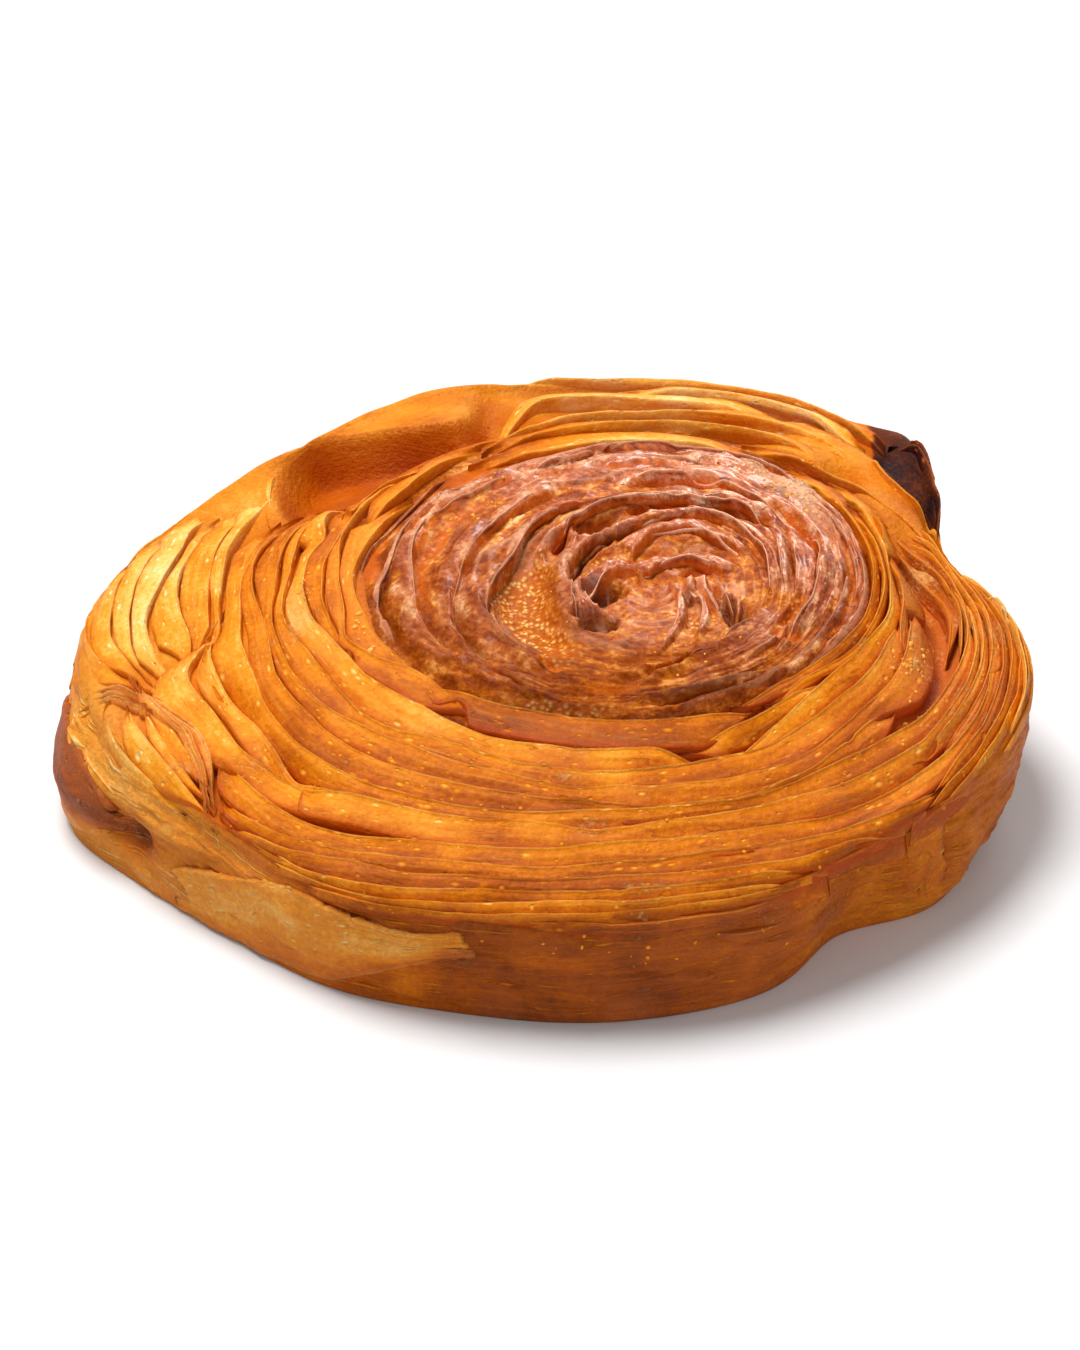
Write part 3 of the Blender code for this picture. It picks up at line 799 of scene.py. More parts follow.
def caramel_material():
    """Burnt-sugar skin: rosy brown plates on the folds, their rosy tint partly painted sheen, orange glass
    in the troughs with a painted glow, sugar in the beds, painted shade in the creases and hollows and over
    the front, and painted highlights on the lips.
    """
    material, tree, shader = new_material("caramel skin")

    def vectors(operation, *values):
        return put(tree, "ShaderNodeVectorMath", 0, enumerate(values), operation=operation)

    readings = ("amber", "dark", "glow", "grain", "lip", "plate", "turn")
    amber, dark, glow, grain, lip, plate, turn = (read(tree, name) for name in readings)
    place = put(tree, "ShaderNodeTexCoord", "Object")
    broad = place.noise(300.0, 4.0, distortion=0.6)
    fine, tint = place.noise(1300.0, 4.0, roughness=0.65, outputs=(0, "Color"))
    shaken = {"Vector": vectors("ADD", place, vectors("MULTIPLY", tint, (0.0016,) * 3)), "Scale": 380.0}
    edges = put(tree, "ShaderNodeTexVoronoi", "Distance", shaken, feature="DISTANCE_TO_EDGE")
    grains = put(tree, "ShaderNodeTexVoronoi", "Distance", {"Vector": place, "Scale": 1300.0})
    grains = (1.0 - grains * 1.6).above(0.0)
    turned = put(tree, "ShaderNodeCombineXYZ", 0, {"Z": turn})
    swirl = vectors("ADD", vectors("MULTIPLY", place, (150.0, 150.0, 0.0)), turned)
    drawn = swirl.noise(1.0, 3.0, distortion=0.3) - 0.5
    drawn = drawn * ((turn * 0.15 - 0.9).held() * 0.8 + 0.2) + 0.5
    crust = broad * 0.35 + drawn * 0.50 + (fine - 0.40) * 0.40
    plates = plate + (drawn - 0.5) * 1.9 + (fine - 0.5) * 0.5
    plates = ((plates - 0.5) * 3.0 + 0.5).held() * (1.0 - amber * 0.65)
    crack = (1.0 - edges * 16.0).above(0.0) * ((broad - 0.5) * 6.0).held() * plates
    # The shaded copies of the ramps paint shade over the front; after the cracks come the painted glow, the
    # painted shade and the pale lips with their painted highlight.
    rosy = crust.ramp(PLATES).toward(crust.ramp(SHADED_PLATES), amber)
    colour = crust.ramp(TROUGHS).toward(crust.ramp(SHADED_TROUGHS), amber).toward(rosy, plates * 0.85)
    colour = colour.toward(CRACKED, crack * 0.6).toward(PAINTED_GLOW, glow)
    colour = colour.toward(grains.ramp(SUGAR_GRAINS), grain).toward(SHADED, dark).toward(PALE_LIT_LIP, lip)
    height = grains * (grain + 0.04) + fine * (0.8 - plates * 0.5) + plates * 0.25 - crack * 0.35
    clear = 1.0 - amber * 0.85
    feed(shader, {
        "Base Color": colour,
        "Roughness": 0.42 - plates * 0.18 + (fine - 0.5) * 0.4,
        "Normal": put(tree, "ShaderNodeBump", 0, {"Height": height, "Strength": 1.0, "Distance": 0.4 * MM}),
        "Coat Weight": (plates * 0.35 + 0.10) * clear,
        "Coat Roughness": 0.10,
        "Specular IOR Level": clear * 0.2,
    })
    return material


CARAMEL = caramel_material()
caramel_dome()


# ---- Fan of layers ----------------------------------------------------------------------------
# Round the dome the turns of the coil have come apart into thin crisp sheets that stand on edge. Each
# is buttered dough rolled out to under half a millimetre, browned, with a painted highlight along its lip
# and painted shade down toward the crease at its foot.

SHEET_SIDES = 32
SHEET_STEP = 0.8
FINE_STEPS = 0.40  # least share of that step, for the small lips
# Section of a sheet, from its root up the inner face, over the lip and down the outer face to the next
# sheet: share of the way round, out from the lip, share of the way to the next sheet, down from the lip.
SHEET_SECTION = (
    (0.00, 0.20, 0.40, 5.00),
    (0.06, -0.30, 0.00, 5.00),
    (0.36, -0.24, 0.00, 1.20),
    (0.43, -0.17, 0.00, 0.50),
    (0.47, -0.09, 0.00, 0.09),
    (0.50, 0.00, 0.00, 0.00),
    (0.53, 0.09, 0.00, 0.06),
    (0.57, 0.15, 0.00, 0.45),
    (0.62, 0.26, 0.06, 0.62),
    (0.91, 0.26, 1.00, 0.62),
    (0.95, 0.10, 0.94, 3.00),
    (1.00, 0.20, 0.40, 5.00),
)
SHEET_REACH = 0.26  # most stations that a sheet reaches out
SHEET_TAPER = 9.0
FIRST_SEED, SEED_STEP = 40, 10
# Form of the fan's sheets, at the front, left, right and back: rise of the lip, dip of the crease, lean.
FAN_FORM = ((0.38, 0.18, 0.42, 0.25), (0.26, -0.10, 0.42, 0.7), (-0.15, 0.4, 0.2, 0.3))
# Paths of the sheets' lips, as (angle, station) points.
FRONT_SHEETS = (
    ((222, 3.03), (234, 3.02), (248, 3.02), (262, 3.03), (276, 3.04), (288, 3.07), (298, 3.12),
     (306, 3.20)),
    ((150, 3.14), (164, 3.18), (180, 3.21), (196, 3.24), (212, 3.23)),
    ((134, 3.04), (150, 3.12), (180, 3.09), (195, 3.12), (204, 3.21), (212, 3.14), (224, 3.06), (238, 3.09),
     (243, 3.20)),
    ((148, 3.22), (156, 3.42), (167, 3.30), (174, 3.37), (190, 3.36), (206, 3.31), (230, 3.29), (262, 3.35),
     (278, 3.34), (292, 3.46)),
    ((150, 3.30), (161, 3.53), (178, 3.48), (190, 3.53), (213, 3.48), (226, 3.53), (245, 3.49), (280, 3.50),
     (306, 3.45), (330, 3.41), (352, 3.37)),
    ((152, 3.42), (163, 3.62), (178, 3.57), (190, 3.62), (213, 3.66), (228, 3.61), (250, 3.60), (280, 3.62),
     (298, 3.68), (322, 3.59), (340, 3.57), (356, 3.42)),
    ((154, 3.66), (168, 3.80), (190, 3.70), (212, 3.76), (228, 3.79), (262, 3.72), (282, 3.80), (302, 3.80),
     (318, 3.72), (330, 3.70)),
    ((156, 3.84), (172, 3.90), (188, 3.86), (204, 3.92), (224, 4.00), (236, 3.95), (256, 3.87), (270, 3.78),
     (290, 3.83), (310, 3.87), (330, 3.95), (350, 4.03), (372, 4.04)),
    ((178, 3.96), (190, 4.10), (204, 4.08), (216, 4.11), (226, 4.16), (240, 4.08)),
    ((140, 4.42), (148, 4.26), (160, 4.16), (176, 4.04), (186, 4.05), (196, 4.26), (206, 4.23), (218, 4.26),
     (236, 4.08), (256, 3.98), (290, 3.93), (308, 4.08), (328, 4.12), (350, 4.17), (368, 4.14)),
    ((212, 4.33), (222, 4.43), (234, 4.46), (248, 4.31), (262, 4.20), (282, 4.12), (300, 4.24), (318, 4.37),
     (332, 4.41), (352, 4.33), (368, 4.34)),
    ((219, 4.52), (228, 4.70), (238, 4.62), (250, 4.46), (264, 4.36), (282, 4.31), (298, 4.43), (314, 4.60),
     (324, 4.68)),
    ((223, 4.74), (232, 4.84), (244, 4.66), (258, 4.52), (274, 4.48), (290, 4.55), (304, 4.74),
     (314, 4.92)),
    ((225, 4.98), (236, 5.04), (247, 4.84), (260, 4.66), (276, 4.62), (292, 4.70), (302, 4.88)),
    ((228, 5.20), (240, 5.20), (250, 5.00), (259, 4.84), (272, 4.76), (290, 4.84), (300, 4.98)),
    ((234, 5.40), (246, 5.24), (258, 5.02), (272, 4.94), (288, 5.02), (302, 5.14)),
    ((260, 5.24), (272, 5.14), (286, 5.22), (300, 5.40)),
    ((252, 5.50), (264, 5.40), (274, 5.42)),
    ((282, 5.62), (292, 5.76), (304, 5.86)),
)
LEFT_SHEETS = (
    ((146, 2.84), (158, 2.86), (170, 2.90), (182, 2.95), (194, 2.98), (206, 3.00), (218, 3.02),
     (230, 3.04)),
    ((132, 4.94), (136, 4.78), (142, 4.54), (147, 4.34), (152, 4.14), (157, 3.97)),
    ((118, 3.08), (128, 3.02), (138, 2.96), (148, 2.92), (158, 2.96), (166, 3.03)),
    ((130, 3.16), (140, 3.10), (150, 3.20), (160, 3.24)),
    ((150, 4.38), (160, 4.26), (170, 4.18), (181, 4.10), (188, 4.13), (196, 4.28)),
    ((154, 4.50), (162, 4.42), (171, 4.36), (181, 4.27), (188, 4.22), (196, 4.31)),
    ((150, 4.70), (158, 4.60), (165, 4.48), (173, 4.45), (181, 4.47), (189, 4.41), (197, 4.34)),
    ((158, 4.82), (166, 4.68), (174, 4.61), (181, 4.57), (188, 4.55), (195, 4.46)),
    ((164, 4.92), (171, 4.80), (178, 4.72), (185, 4.66), (192, 4.57), (197, 4.48)),
    ((170, 5.06), (178, 4.96), (185, 4.86), (191, 4.72), (197, 4.54)),
    ((199, 4.56), (201, 4.55), (204, 4.53), (207, 4.51), (211, 4.53), (215, 4.56), (218, 4.60),
     (222, 4.70)),
    ((199, 4.60), (204, 4.61), (208, 4.64), (212, 4.67), (216, 4.68), (220, 4.70), (223, 4.78)),
    ((199, 4.66), (203, 4.69), (206, 4.71), (211, 4.73), (216, 4.76), (221, 4.82), (224, 4.92)),
    ((198, 4.76), (200, 4.86), (204, 4.94), (207, 4.97), (212, 4.99), (216, 5.06), (220, 5.22)),
    ((197, 4.98), (197.5, 5.30), (201, 5.47), (206, 5.60), (210, 5.79), (214, 5.95)),
)
RIGHT_SHEETS = (
    ((292, 3.04), (304, 3.04), (318, 3.04), (334, 3.07), (350, 3.10), (366, 3.10), (382, 3.07), (398, 3.02),
     (408, 2.98)),
    ((300, 3.13), (312, 3.12), (328, 3.15), (344, 3.19), (360, 3.20), (376, 3.19), (390, 3.16)),
    ((290, 3.44), (304, 3.34), (316, 3.26), (332, 3.23), (346, 3.28), (362, 3.28), (378, 3.28), (390, 3.36),
     (398, 3.34)),
    ((281, 3.36), (290, 3.31), (300, 3.26), (311, 3.20), (324, 3.18)),
    ((334, 3.60), (346, 3.44), (360, 3.34), (374, 3.32)),
    ((348, 3.84), (358, 3.84), (367, 3.78), (375, 3.60), (382, 3.43)),
    ((346, 3.99), (363, 3.98), (371, 3.90), (379, 3.66), (386, 3.46)),
    ((350, 4.07), (362, 4.07), (370, 4.02), (378, 3.86), (385, 3.64)),
    ((320, 4.22), (342, 4.23), (360, 4.21), (371, 4.14), (380, 3.98), (387, 3.78)),
    ((322, 4.32), (345, 4.32), (362, 4.32), (374, 4.30), (382, 4.16), (389, 3.94)),
    ((316, 4.66), (330, 4.52), (346, 4.46), (362, 4.46), (374, 4.44)),
    ((314, 4.82), (330, 4.66), (346, 4.58), (362, 4.56), (376, 4.58)),
    ((316, 4.98), (330, 4.82), (346, 4.72), (362, 4.68), (374, 4.70)),
    ((330, 4.98), (346, 4.86), (362, 4.82), (376, 4.86)),
    ((326, 5.26), (340, 5.14), (356, 5.10), (372, 5.12), (386, 5.30)),
)
BACK_SHEETS = (
    ((50, 3.00), (62, 2.94), (74, 2.86), (86, 2.80), (98, 2.77), (108, 2.74), (118, 2.78), (128, 2.86)),
    ((40, 3.54), (48, 3.68), (58, 3.74), (68, 3.44), (80, 3.20), (94, 3.08), (110, 2.98), (122, 2.94)),
    ((36, 4.00), (46, 4.12), (56, 4.16), (64, 4.10), (72, 3.92), (82, 3.58), (95, 3.36), (106, 3.22),
     (120, 3.14)),
    ((58, 4.30), (70, 4.26), (80, 4.24), (90, 4.26), (97, 4.18), (103, 3.92), (108, 3.60), (113, 3.34),
     (119, 3.12)),
    ((44, 4.42), (50, 4.46), (56, 4.56), (64, 4.54), (74, 4.50), (84, 4.52)),
    ((42, 4.64), (56, 4.76), (70, 4.74), (84, 4.80), (93, 4.87), (100, 4.93)),
    ((134, 4.96), (142, 4.90), (150, 4.90), (160, 4.94), (170, 4.98)),
    ((374, 4.30), (386, 3.84), (394, 3.62), (402, 3.42), (410, 3.32), (420, 3.26)),
)
# The sides in the order that they are made: piece, paths, size of a sheet's fin.
SIDES = (
    ("front_layers", FRONT_SHEETS, 0.80),
    ("left_layers", LEFT_SHEETS, 0.50),
    ("right_layers", RIGHT_SHEETS, 0.70),
    ("back_layers", BACK_SHEETS, 0.70),
)
ALL_SHEETS = [path for _, paths, _ in SIDES for path in paths]


def by_side(angle, front, left, right, back):
    """A value that changes from the front round the left, the right and the back of the fan."""
    sides = ((178, 34, left), (355, 42, right), (88, 42, back))
    return front + sum((value - front) * near(angle, middle, spread) for middle, spread, value in sides)


def gap_outward(path, station, angle):
    """Stations from a sheet to the next one outward."""
    gap = np.full(len(angle), SHEET_REACH)
    for other in ALL_SHEETS:
        if other is not path:
            along, there = along_path(other, angle)
            ahead = path_station(other, along) - station
            gap = np.where((there > 0.25) & (ahead > 0.03), np.minimum(gap, ahead), gap)
    return np.convolve(np.pad(gap, 4, mode="edge"), np.full(9, 1 / 9), mode="valid")


def fan_ground(station, angle):
    """Points under the lips of the fan."""
    points = on_turns(station, angle)
    points[:, 2] += fan_swell(station, angle) - pinch_drop(station, angle)
    return points


def run_along(path, share):
    """Station and angle at shares of the length of a smooth curve through a path's points, and that
    length in millimetres."""
    angles, stations = np.array(path, float).T
    knots = np.arange(len(path))
    fine = np.linspace(0, len(path) - 1, 40 * len(path))
    line = [path_station(np.stack((knots, row), axis=1), fine) for row in (stations, angles)]
    steps = np.linalg.norm(np.diff(on_turns(*line), axis=0), axis=1)
    run = np.concatenate(((0.0,), np.cumsum(steps)))
    at = np.interp(share * run[-1], run, fine)
    return np.interp(at, fine, line[0]), np.interp(at, fine, line[1]), run[-1]


def frame_along(ground, station, angle):
    """For a line of points on the ground: unit vectors up from it, upright on the top and square to the
    side, and unit vectors across the line toward the foot."""
    ahead = np.gradient(ground(station, angle), axis=0)
    onward = on_turns(station + 0.05, angle) - on_turns(station, angle)
    round_it = on_turns(station, angle + 0.5) - on_turns(station, angle)
    square = np.cross(onward, round_it)
    square /= np.linalg.norm(square, axis=1)[:, None] + 1e-9
    tilt = smooth((station - SIDE_FROM) / 0.4)[:, None]
    up = square * tilt + (0.0, 0.0, 1.0) * (1.0 - tilt)
    across = np.cross(ahead, up)
    across /= np.linalg.norm(across, axis=1)[:, None] + 1e-9
    return up, across if (across * onward).sum() >= 0.0 else -across


def sheet_on_edge(path, gaps, ground, form, seed):
    """One thin sheet on edge: a closed ball drawn out along its path and pressed into its section.
    Gaps are stations to the next sheet, even steps along the path; form is the rise of its lip, the dip
    of the crease, the lean outward, each a number or four by side, the size of its fin and the taper of
    its ends. Returns the mesh and, for each point, its station, angle, share of the way to the next
    sheet and way down."""
    length = run_along(path, np.array([0.5]))[2]
    size, taper = form[3:]
    rings = max(16, int(length / SHEET_STEP / min(max(size, FINE_STEPS), 1.0)))
    sheet, share, around = ball("sheet", SHEET_SIDES, rings)
    station, angle, _ = run_along(path, share)
    wave = cloud(np.outer(share * length, (1.0, 0.0, 0.0)), 9.0, seed)
    station += 0.022 * wave * smooth((share * (1.0 - share)) / 0.05)
    rise, dip, lean = (by_side(angle, *part) if isinstance(part, tuple) else part for part in form[:3])
    steps = np.linspace(0.0, 1.0, 201)
    up, direction = (
        np.stack([np.interp(share, steps, row) for row in vectors.T], axis=1)
        for vectors in frame_along(ground, *run_along(path, steps)[:2])
    )
    ends = smooth(np.minimum(share, 1.0 - share) * length / taper)
    further = station + np.interp(share, np.linspace(0.0, 1.0, len(gaps)), gaps) * (0.08 + 0.92 * ends)
    foot, far = ground(station, angle), ground(further, angle)
    section = np.array(SHEET_SECTION).T
    out, onward, down = (np.interp(around / 360.0, section[0], row) for row in section[1:])
    out, down = out * size, down * size
    line = foot * (1.0, 1.0, 0.0)
    lip = rise * (1.0 + 0.45 * cloud(line, 7.0, seed) + 0.22 * cloud(line, 2.6, seed + 1))
    lip += 0.07 * cloud(line, 1.0, seed + 8) - rise * smooth((cloud(line, 3.4, seed + 2) - 0.66) / 0.2)
    lip = lip * ends - (dip + 1.7 * size) * (1.0 - ends)
    sway = lean + size * (0.40 * cloud(line, 11.0, seed + 3) + 0.26 * cloud(line, 4.0, seed + 4))
    high = 1.0 - np.clip(down / 3.0, 0.0, 1.0)
    reach = ((far - foot) * direction).sum(axis=1) - out
    fall = ((foot - far) * up).sum(axis=1) + dip + lip - 0.62 * size
    offset = out + (1.0 - onward) * sway * high * ends + onward * reach
    second = 0.5 + 0.5 * cloud(line, 14.0, seed + 7)
    ledge = smooth((onward - second) / 0.10)
    across = onward * reach + down
    drawn = np.stack((share * length / 9.0, across / 0.9, np.full(len(angle), seed * 1.7)), axis=1)
    pleats = cloud(drawn, 1.0)
    blister = cloud(foot + np.stack((across, across, down), axis=1), 1.4, seed + 5)
    outer = smooth((around / 360.0 - 0.5) / 0.12)
    lift = outer * size * (0.16 * pleats + 0.10 * blister + 0.18 * (1.0 - ledge))
    side = (1.0 - outer) * (0.12 * pleats + 0.08 * blister) * (down > 0.3)
    points = foot + direction * (offset + side)[:, None]
    points += up * (lip - down - onward**1.3 * fall + lift * (onward < 1.0))[:, None]
    fill_points(sheet, points)
    # Painted shade low on the inner face and toward the crease on the outer face, and a painted highlight
    # along the lip and along a second ledge of the outer face; both are weighted by side.
    inner_depth = smooth((down / size - 0.3) / 1.4) * (around < 175.0)
    outer_depth = smooth((onward - 0.62) / 0.4) * (around >= 180.0)
    facing = np.where(around < 175.0, by_side(angle, 0.1, 0.6, 0.5, 1.0), 1.0)
    lit_edge = facing * bell(down, 0.22) * (onward < 0.01)
    lit_edge = np.maximum(lit_edge, 0.4 * bell(onward - second + 0.06, 0.05))
    note(
        sheet,
        depth=by_side(angle, 0.72, 0.22, 0.70, 0.28) * np.maximum(inner_depth, outer_depth),
        lip=lit_edge * (0.5 + 0.5 * cloud(line, 5.0, seed + 9)) * ends,
        frost=frost_at(station, angle, line),
        layered=ends,
        along=share * length + 17.0 * seed,
        across=across + 3.0 * (around < 180.0),
    )
    return sheet, station, angle, onward, down


def dough_sheet(path, size, seed):
    """A sheet of the fan, browned as the crust is where it stands."""
    steps = np.linspace(path[0][0], path[-1][0], 241)
    gaps = gap_outward(path, path_station(path, steps), steps)
    form = (*FAN_FORM, size, SHEET_TAPER)
    sheet, station, angle, onward, _ = sheet_on_edge(path, gaps, fan_ground, form, seed)
    there = on_turns(station, angle)
    # Toasted darker toward the crease at the foot of each face: painted shade.
    toast = toast_at(station + 0.1 * onward, angle) + by_side(angle, 0.20, 0.10, 0.20, 0.16) * onward
    tone = 0.09 * cloud(there, 12.0, seed + 6) + 0.07 * math.sin(seed * 2.4) - 0.06
    note(sheet, toast=toast + tone, glaze=glaze_at(station, angle, there + seed * 3.1))
    return sheet


def joined(name, pieces):
    """Joins like pieces into one mesh of that name."""
    bpy.ops.object.select_all(action="DESELECT")
    for piece in pieces:
        piece.select_set(True)
    bpy.context.view_layer.objects.active = pieces[0]
    bpy.ops.object.join()
    whole = bpy.context.object
    whole.name = whole.data.name = name
    return whole


def gathered(name, make, rows, material, seed):
    """Makes a piece from each row, each with its own seed, and finishes them as one mesh."""
    pieces = [make(*row, seed + SEED_STEP * number) for number, row in enumerate(rows)]
    finished(joined(name, pieces), material)


LAYERED_DOUGH = dough_material("thin layers", 1.0, 0.3)


def fan_of_layers():
    seed = FIRST_SEED
    for name, paths, size in SIDES:
        gathered(name, dough_sheet, [(path, size) for path in paths], LAYERED_DOUGH, seed)
        seed += SEED_STEP * len(paths)


fan_of_layers()


# ---- Pinch and loose flakes -------------------------------------------------------------------
# At the left the layers are gathered into one glazed strand that runs out over the rim and down; small
# flakes of the thin layers have lifted here and there.

STRAND = (
    (193, 4.55), (197, 4.52), (200, 4.48), (203, 4.45), (206, 4.42), (209, 4.40), (212, 4.43), (216, 4.49),
    (219, 4.59), (223, 4.76),
)
# The strand's threads are copies of it, each turned and moved outward from the last by these steps.
THREADS, THREAD_TURN, THREAD_STEP = 3, -0.3, 0.032
# Form of a thread and of a knot's folds: rise, dip, lean, size of the fin, taper.
THREAD_FORM, KNOT_FORM = (0.75, -0.4, 0.1, 1.0, 8.0), (0.35, -0.2, -0.1, 0.9, 8.0)
KNOTS = (
    ((201, 4.46), (198, 4.54), (196.5, 4.64), (195.5, 4.78), (194.5, 4.96), (193, 5.35)),
    ((202, 4.48), (199, 4.58), (197.5, 4.68), (196.5, 4.82), (195.5, 5.00), (194, 5.40)),
    ((203, 4.50), (200, 4.62), (198.5, 4.72), (197.5, 4.86), (196.5, 5.04), (195, 5.45)),
)
# Flakes: rise, lean, how much paler, path.
FLAKES = (
    (1.2, 0.4, 0.22, ((365, 4.58), (359, 4.62), (353, 4.66), (346, 4.76), (339, 4.88), (334, 4.98))),
    (1.4, 0.5, 0.00, ((27, 3.38), (22, 3.36), (16, 3.33), (8, 3.31))),
    (1.0, 0.6, 0.26, ((223, 5.10), (225, 5.35), (226, 5.62))),
    (0.8, 0.3, 0.12, ((52, 3.98), (49, 4.02), (45, 4.02), (41, 3.92))),
    (0.9, 0.2, 0.06, ((44, 4.34), (40, 4.20), (35, 4.10), (30, 4.14), (26, 4.32), (22, 4.62), (20, 4.84))),
    (0.7, 0.2, 0.10, ((262, 3.34), (256, 3.33), (250, 3.31))),
)


def strand(path, gap, form, seed):
    """One glazed thread of the gathered dough."""
    thread, _, _, onward, _ = sheet_on_edge(path, np.full(9, gap), fan_ground, form, seed)
    # Darker toward its foot: painted shade.
    note(thread, toast=0.22 + 0.14 * onward, glaze=0.7, depth=0.0, layered=0.4)
    return thread


def loose_flake(rise, lean, paler, path, seed):
    """A low scrap of a thin layer, paler than the crust under it."""
    form = (rise, 0.2, lean, 0.6, 5.0)
    flake, station, angle, _, down = sheet_on_edge(path, np.full(9, 0.05), fan_ground, form, seed)
    # Its depth paints shade low on the flake.
    note(flake, toast=toast_at(station, angle) - paler, glaze=0.1, depth=0.4 * smooth(down / 2.0))
    return flake


threads = [
    [(angle + THREAD_TURN * number, station + THREAD_STEP * number) for angle, station in STRAND]
    for number in range(THREADS)
]
strands = [(path, 0.035, THREAD_FORM) for path in threads] + [(path, 0.06, KNOT_FORM) for path in KNOTS]
gathered("pinch_strands", strand, strands, LAYERED_DOUGH, seed=500)
gathered("loose_flakes", loose_flake, FLAKES, LAYERED_DOUGH, seed=600)


# ---- Skins of the side ------------------------------------------------------------------------
# Over the side lie broad thin skins of dough, torn at their ends: a tan one low on the left, a scorched
# one at the far left, a pale fold at the right, and four browned ones on the sides at the back.

# Skins: first and last angle, paths of the upper and the lower edge, stand off, toast, glaze.
SKINS = (
    (220, 260,
     ((220, 6.20), (228, 5.90), (234, 5.62), (240, 5.50), (246, 5.58), (251, 5.66), (256, 5.60),
      (260, 5.48)),
     ((220, 6.92), (234, 6.92), (243, 6.86), (248, 6.60), (252, 6.34), (256, 6.14),
      (260, 6.00)), 0.40, 0.30, 0.4),
    (186, 208, ((186, 5.80), (190, 5.62), (197, 5.50), (204, 5.66), (208, 6.00)),
     ((186, 6.80), (192, 6.90), (200, 6.80), (208, 6.40)), 0.35, 0.80, 0.30),
    (316, 321, ((316, 5.40), (317.5, 5.16), (319, 5.02), (321, 5.06)),
     ((316, 6.30), (317, 6.56), (318, 6.36), (319, 6.70), (320, 6.44), (321, 6.58)), 0.25, 0.44, 0.30),
    (356, 388, ((356, 5.50), (366, 5.60), (378, 5.48), (388, 5.60)),
     ((356, 6.50), (366, 6.90), (378, 6.80), (388, 6.60)), 0.50, 0.62, 0.1),
    (58, 92, ((58, 5.44), (66, 5.34), (78, 5.36), (92, 5.50)),
     ((58, 6.60), (68, 6.90), (80, 6.80), (92, 6.50)), 0.60, 0.66, 0.1),
    (98, 138, ((98, 5.50), (112, 5.40), (126, 5.44), (138, 5.60)),
     ((98, 6.60), (112, 6.94), (126, 6.80), (138, 6.70)), 0.60, 0.56, 0.1),
    (146, 180, ((146, 5.60), (156, 5.50), (168, 5.54), (180, 5.72)),
     ((146, 6.90), (156, 6.94), (168, 6.70), (180, 6.60)), 0.60, 0.42, 0.1),
)
SKIN_SIDES, SKIN_STEP = 48, 0.7


def torn_skin(first, last, upper, lower, stand_off, toast, glaze, seed):
    """A thin closed skin over the side between its upper and its lower edge, ragged all round."""
    length = np.radians(last - first) * TURNS[5, HALF_WIDTH]
    skin, share, around = ball("skin", SKIN_SIDES, int(length / SKIN_STEP))
    front = around < 180.0
    climb = np.where(front, around, 360.0 - around) / 180.0
    angle = first + (last - first) * np.clip((share - 0.02) / 0.96, 0.0, 1.0)
    along = np.radians(angle) * 60.0
    edge = np.stack((along, np.where(climb < 0.5, 0.0, 40.0), np.full(len(angle), seed * 2.0)), axis=1)
    ragged = 0.030 * cloud(edge, 5.0, 1) + 0.022 * cloud(edge, 1.6, 2)
    top, bottom = path_station(upper, angle), path_station(lower, angle)
    end = np.stack((climb * 9.0, np.where(share < 0.5, 0.0, 30.0), np.full(len(angle), seed * 3.0)), axis=1)
    torn = 2.0 * cloud(end, 1.6, 3) + cloud(end, 0.5, 4)
    angle = angle + torn * bell(np.minimum(share, 1.0 - share), 0.10)
    station = np.minimum(top + ragged + (bottom - top) * climb, FOOT - 0.02)
    points = on_turns(station, angle)
    rim = np.minimum(np.minimum(climb, 1.0 - climb) / 0.10, np.minimum(share, 1.0 - share) / 0.04)
    bands = banded(points)
    lifted = stand_off + 0.25 * bell(rim, 0.8) * cloud(edge, 3.0, 5) + 0.30 * cloud(points, 14.0, 2)
    lifted += 0.20 * cloud(bands, 5.0, seed) + 0.12 * cloud(bands, 1.8, seed + 1)
    out = np.where(front, lifted, lifted - 0.9)
    out = np.where((share < 1e-4) | (share > 1.0 - 1e-4), -2.5, out)
    points[:, :2] += out[:, None] * outward(angle)
    fill_points(skin, points)
    browned = toast + (toast_at(station, angle) - toast) * smooth((climb - 0.55) / 0.45)
    # Painted shade on the skin's back, which faces the body, and a painted highlight along its ragged rim.
    note(
        skin,
        toast=browned + 0.07 * cloud(bands, 7.0, seed + 2),
        depth=np.where(front, 0.0, 0.5),
        lip=0.5 * bell(rim, 0.35) * front,
        glaze=glaze,
        frost=frost_at(station, angle, points),
        layered=0.8,
        along=np.radians(angle) * 60.0,
        across=climb * 12.0 + 2.0 * cloud(points, 10.0, seed + 3),
    )
    return skin


gathered("side_skins", torn_skin, SKINS, dough_material("skin of the side", 0.85, 0.6), seed=800)


# ---- Scorched tongue --------------------------------------------------------------------------
# At the right of the back a stiff end of dough stands up from the rim, burnt nearly black.

# Its layers: rise, lean, path.
TONGUE_PATHS = (
    (1.1, 0.2, ((43, 4.66), (41, 4.80), (38, 4.94), (33, 5.02), (28, 5.01), (23, 4.97), (19, 4.92))),
    (0.7, 0.8, ((44, 4.80), (40, 4.98), (35, 5.08), (29, 5.10))),
)


def burnt_layer(rise, lean, path, seed):
    """One stiff layer of the tongue, lightest along its lip."""
    form = (rise, 1.0, lean, 1.1, 5.0)
    layer, _, _, onward, down = sheet_on_edge(path, np.full(9, 0.16), fan_ground, form, seed)
    toast = 1.02 - 0.20 * bell(down, 0.25) * (onward < 0.1)
    note(layer, toast=toast, glaze=0.05, depth=0.0, lip=0.0, frost=-2.0)
    return layer


gathered("scorched_tongue", burnt_layer, TONGUE_PATHS, LAYERED_DOUGH, seed=900)


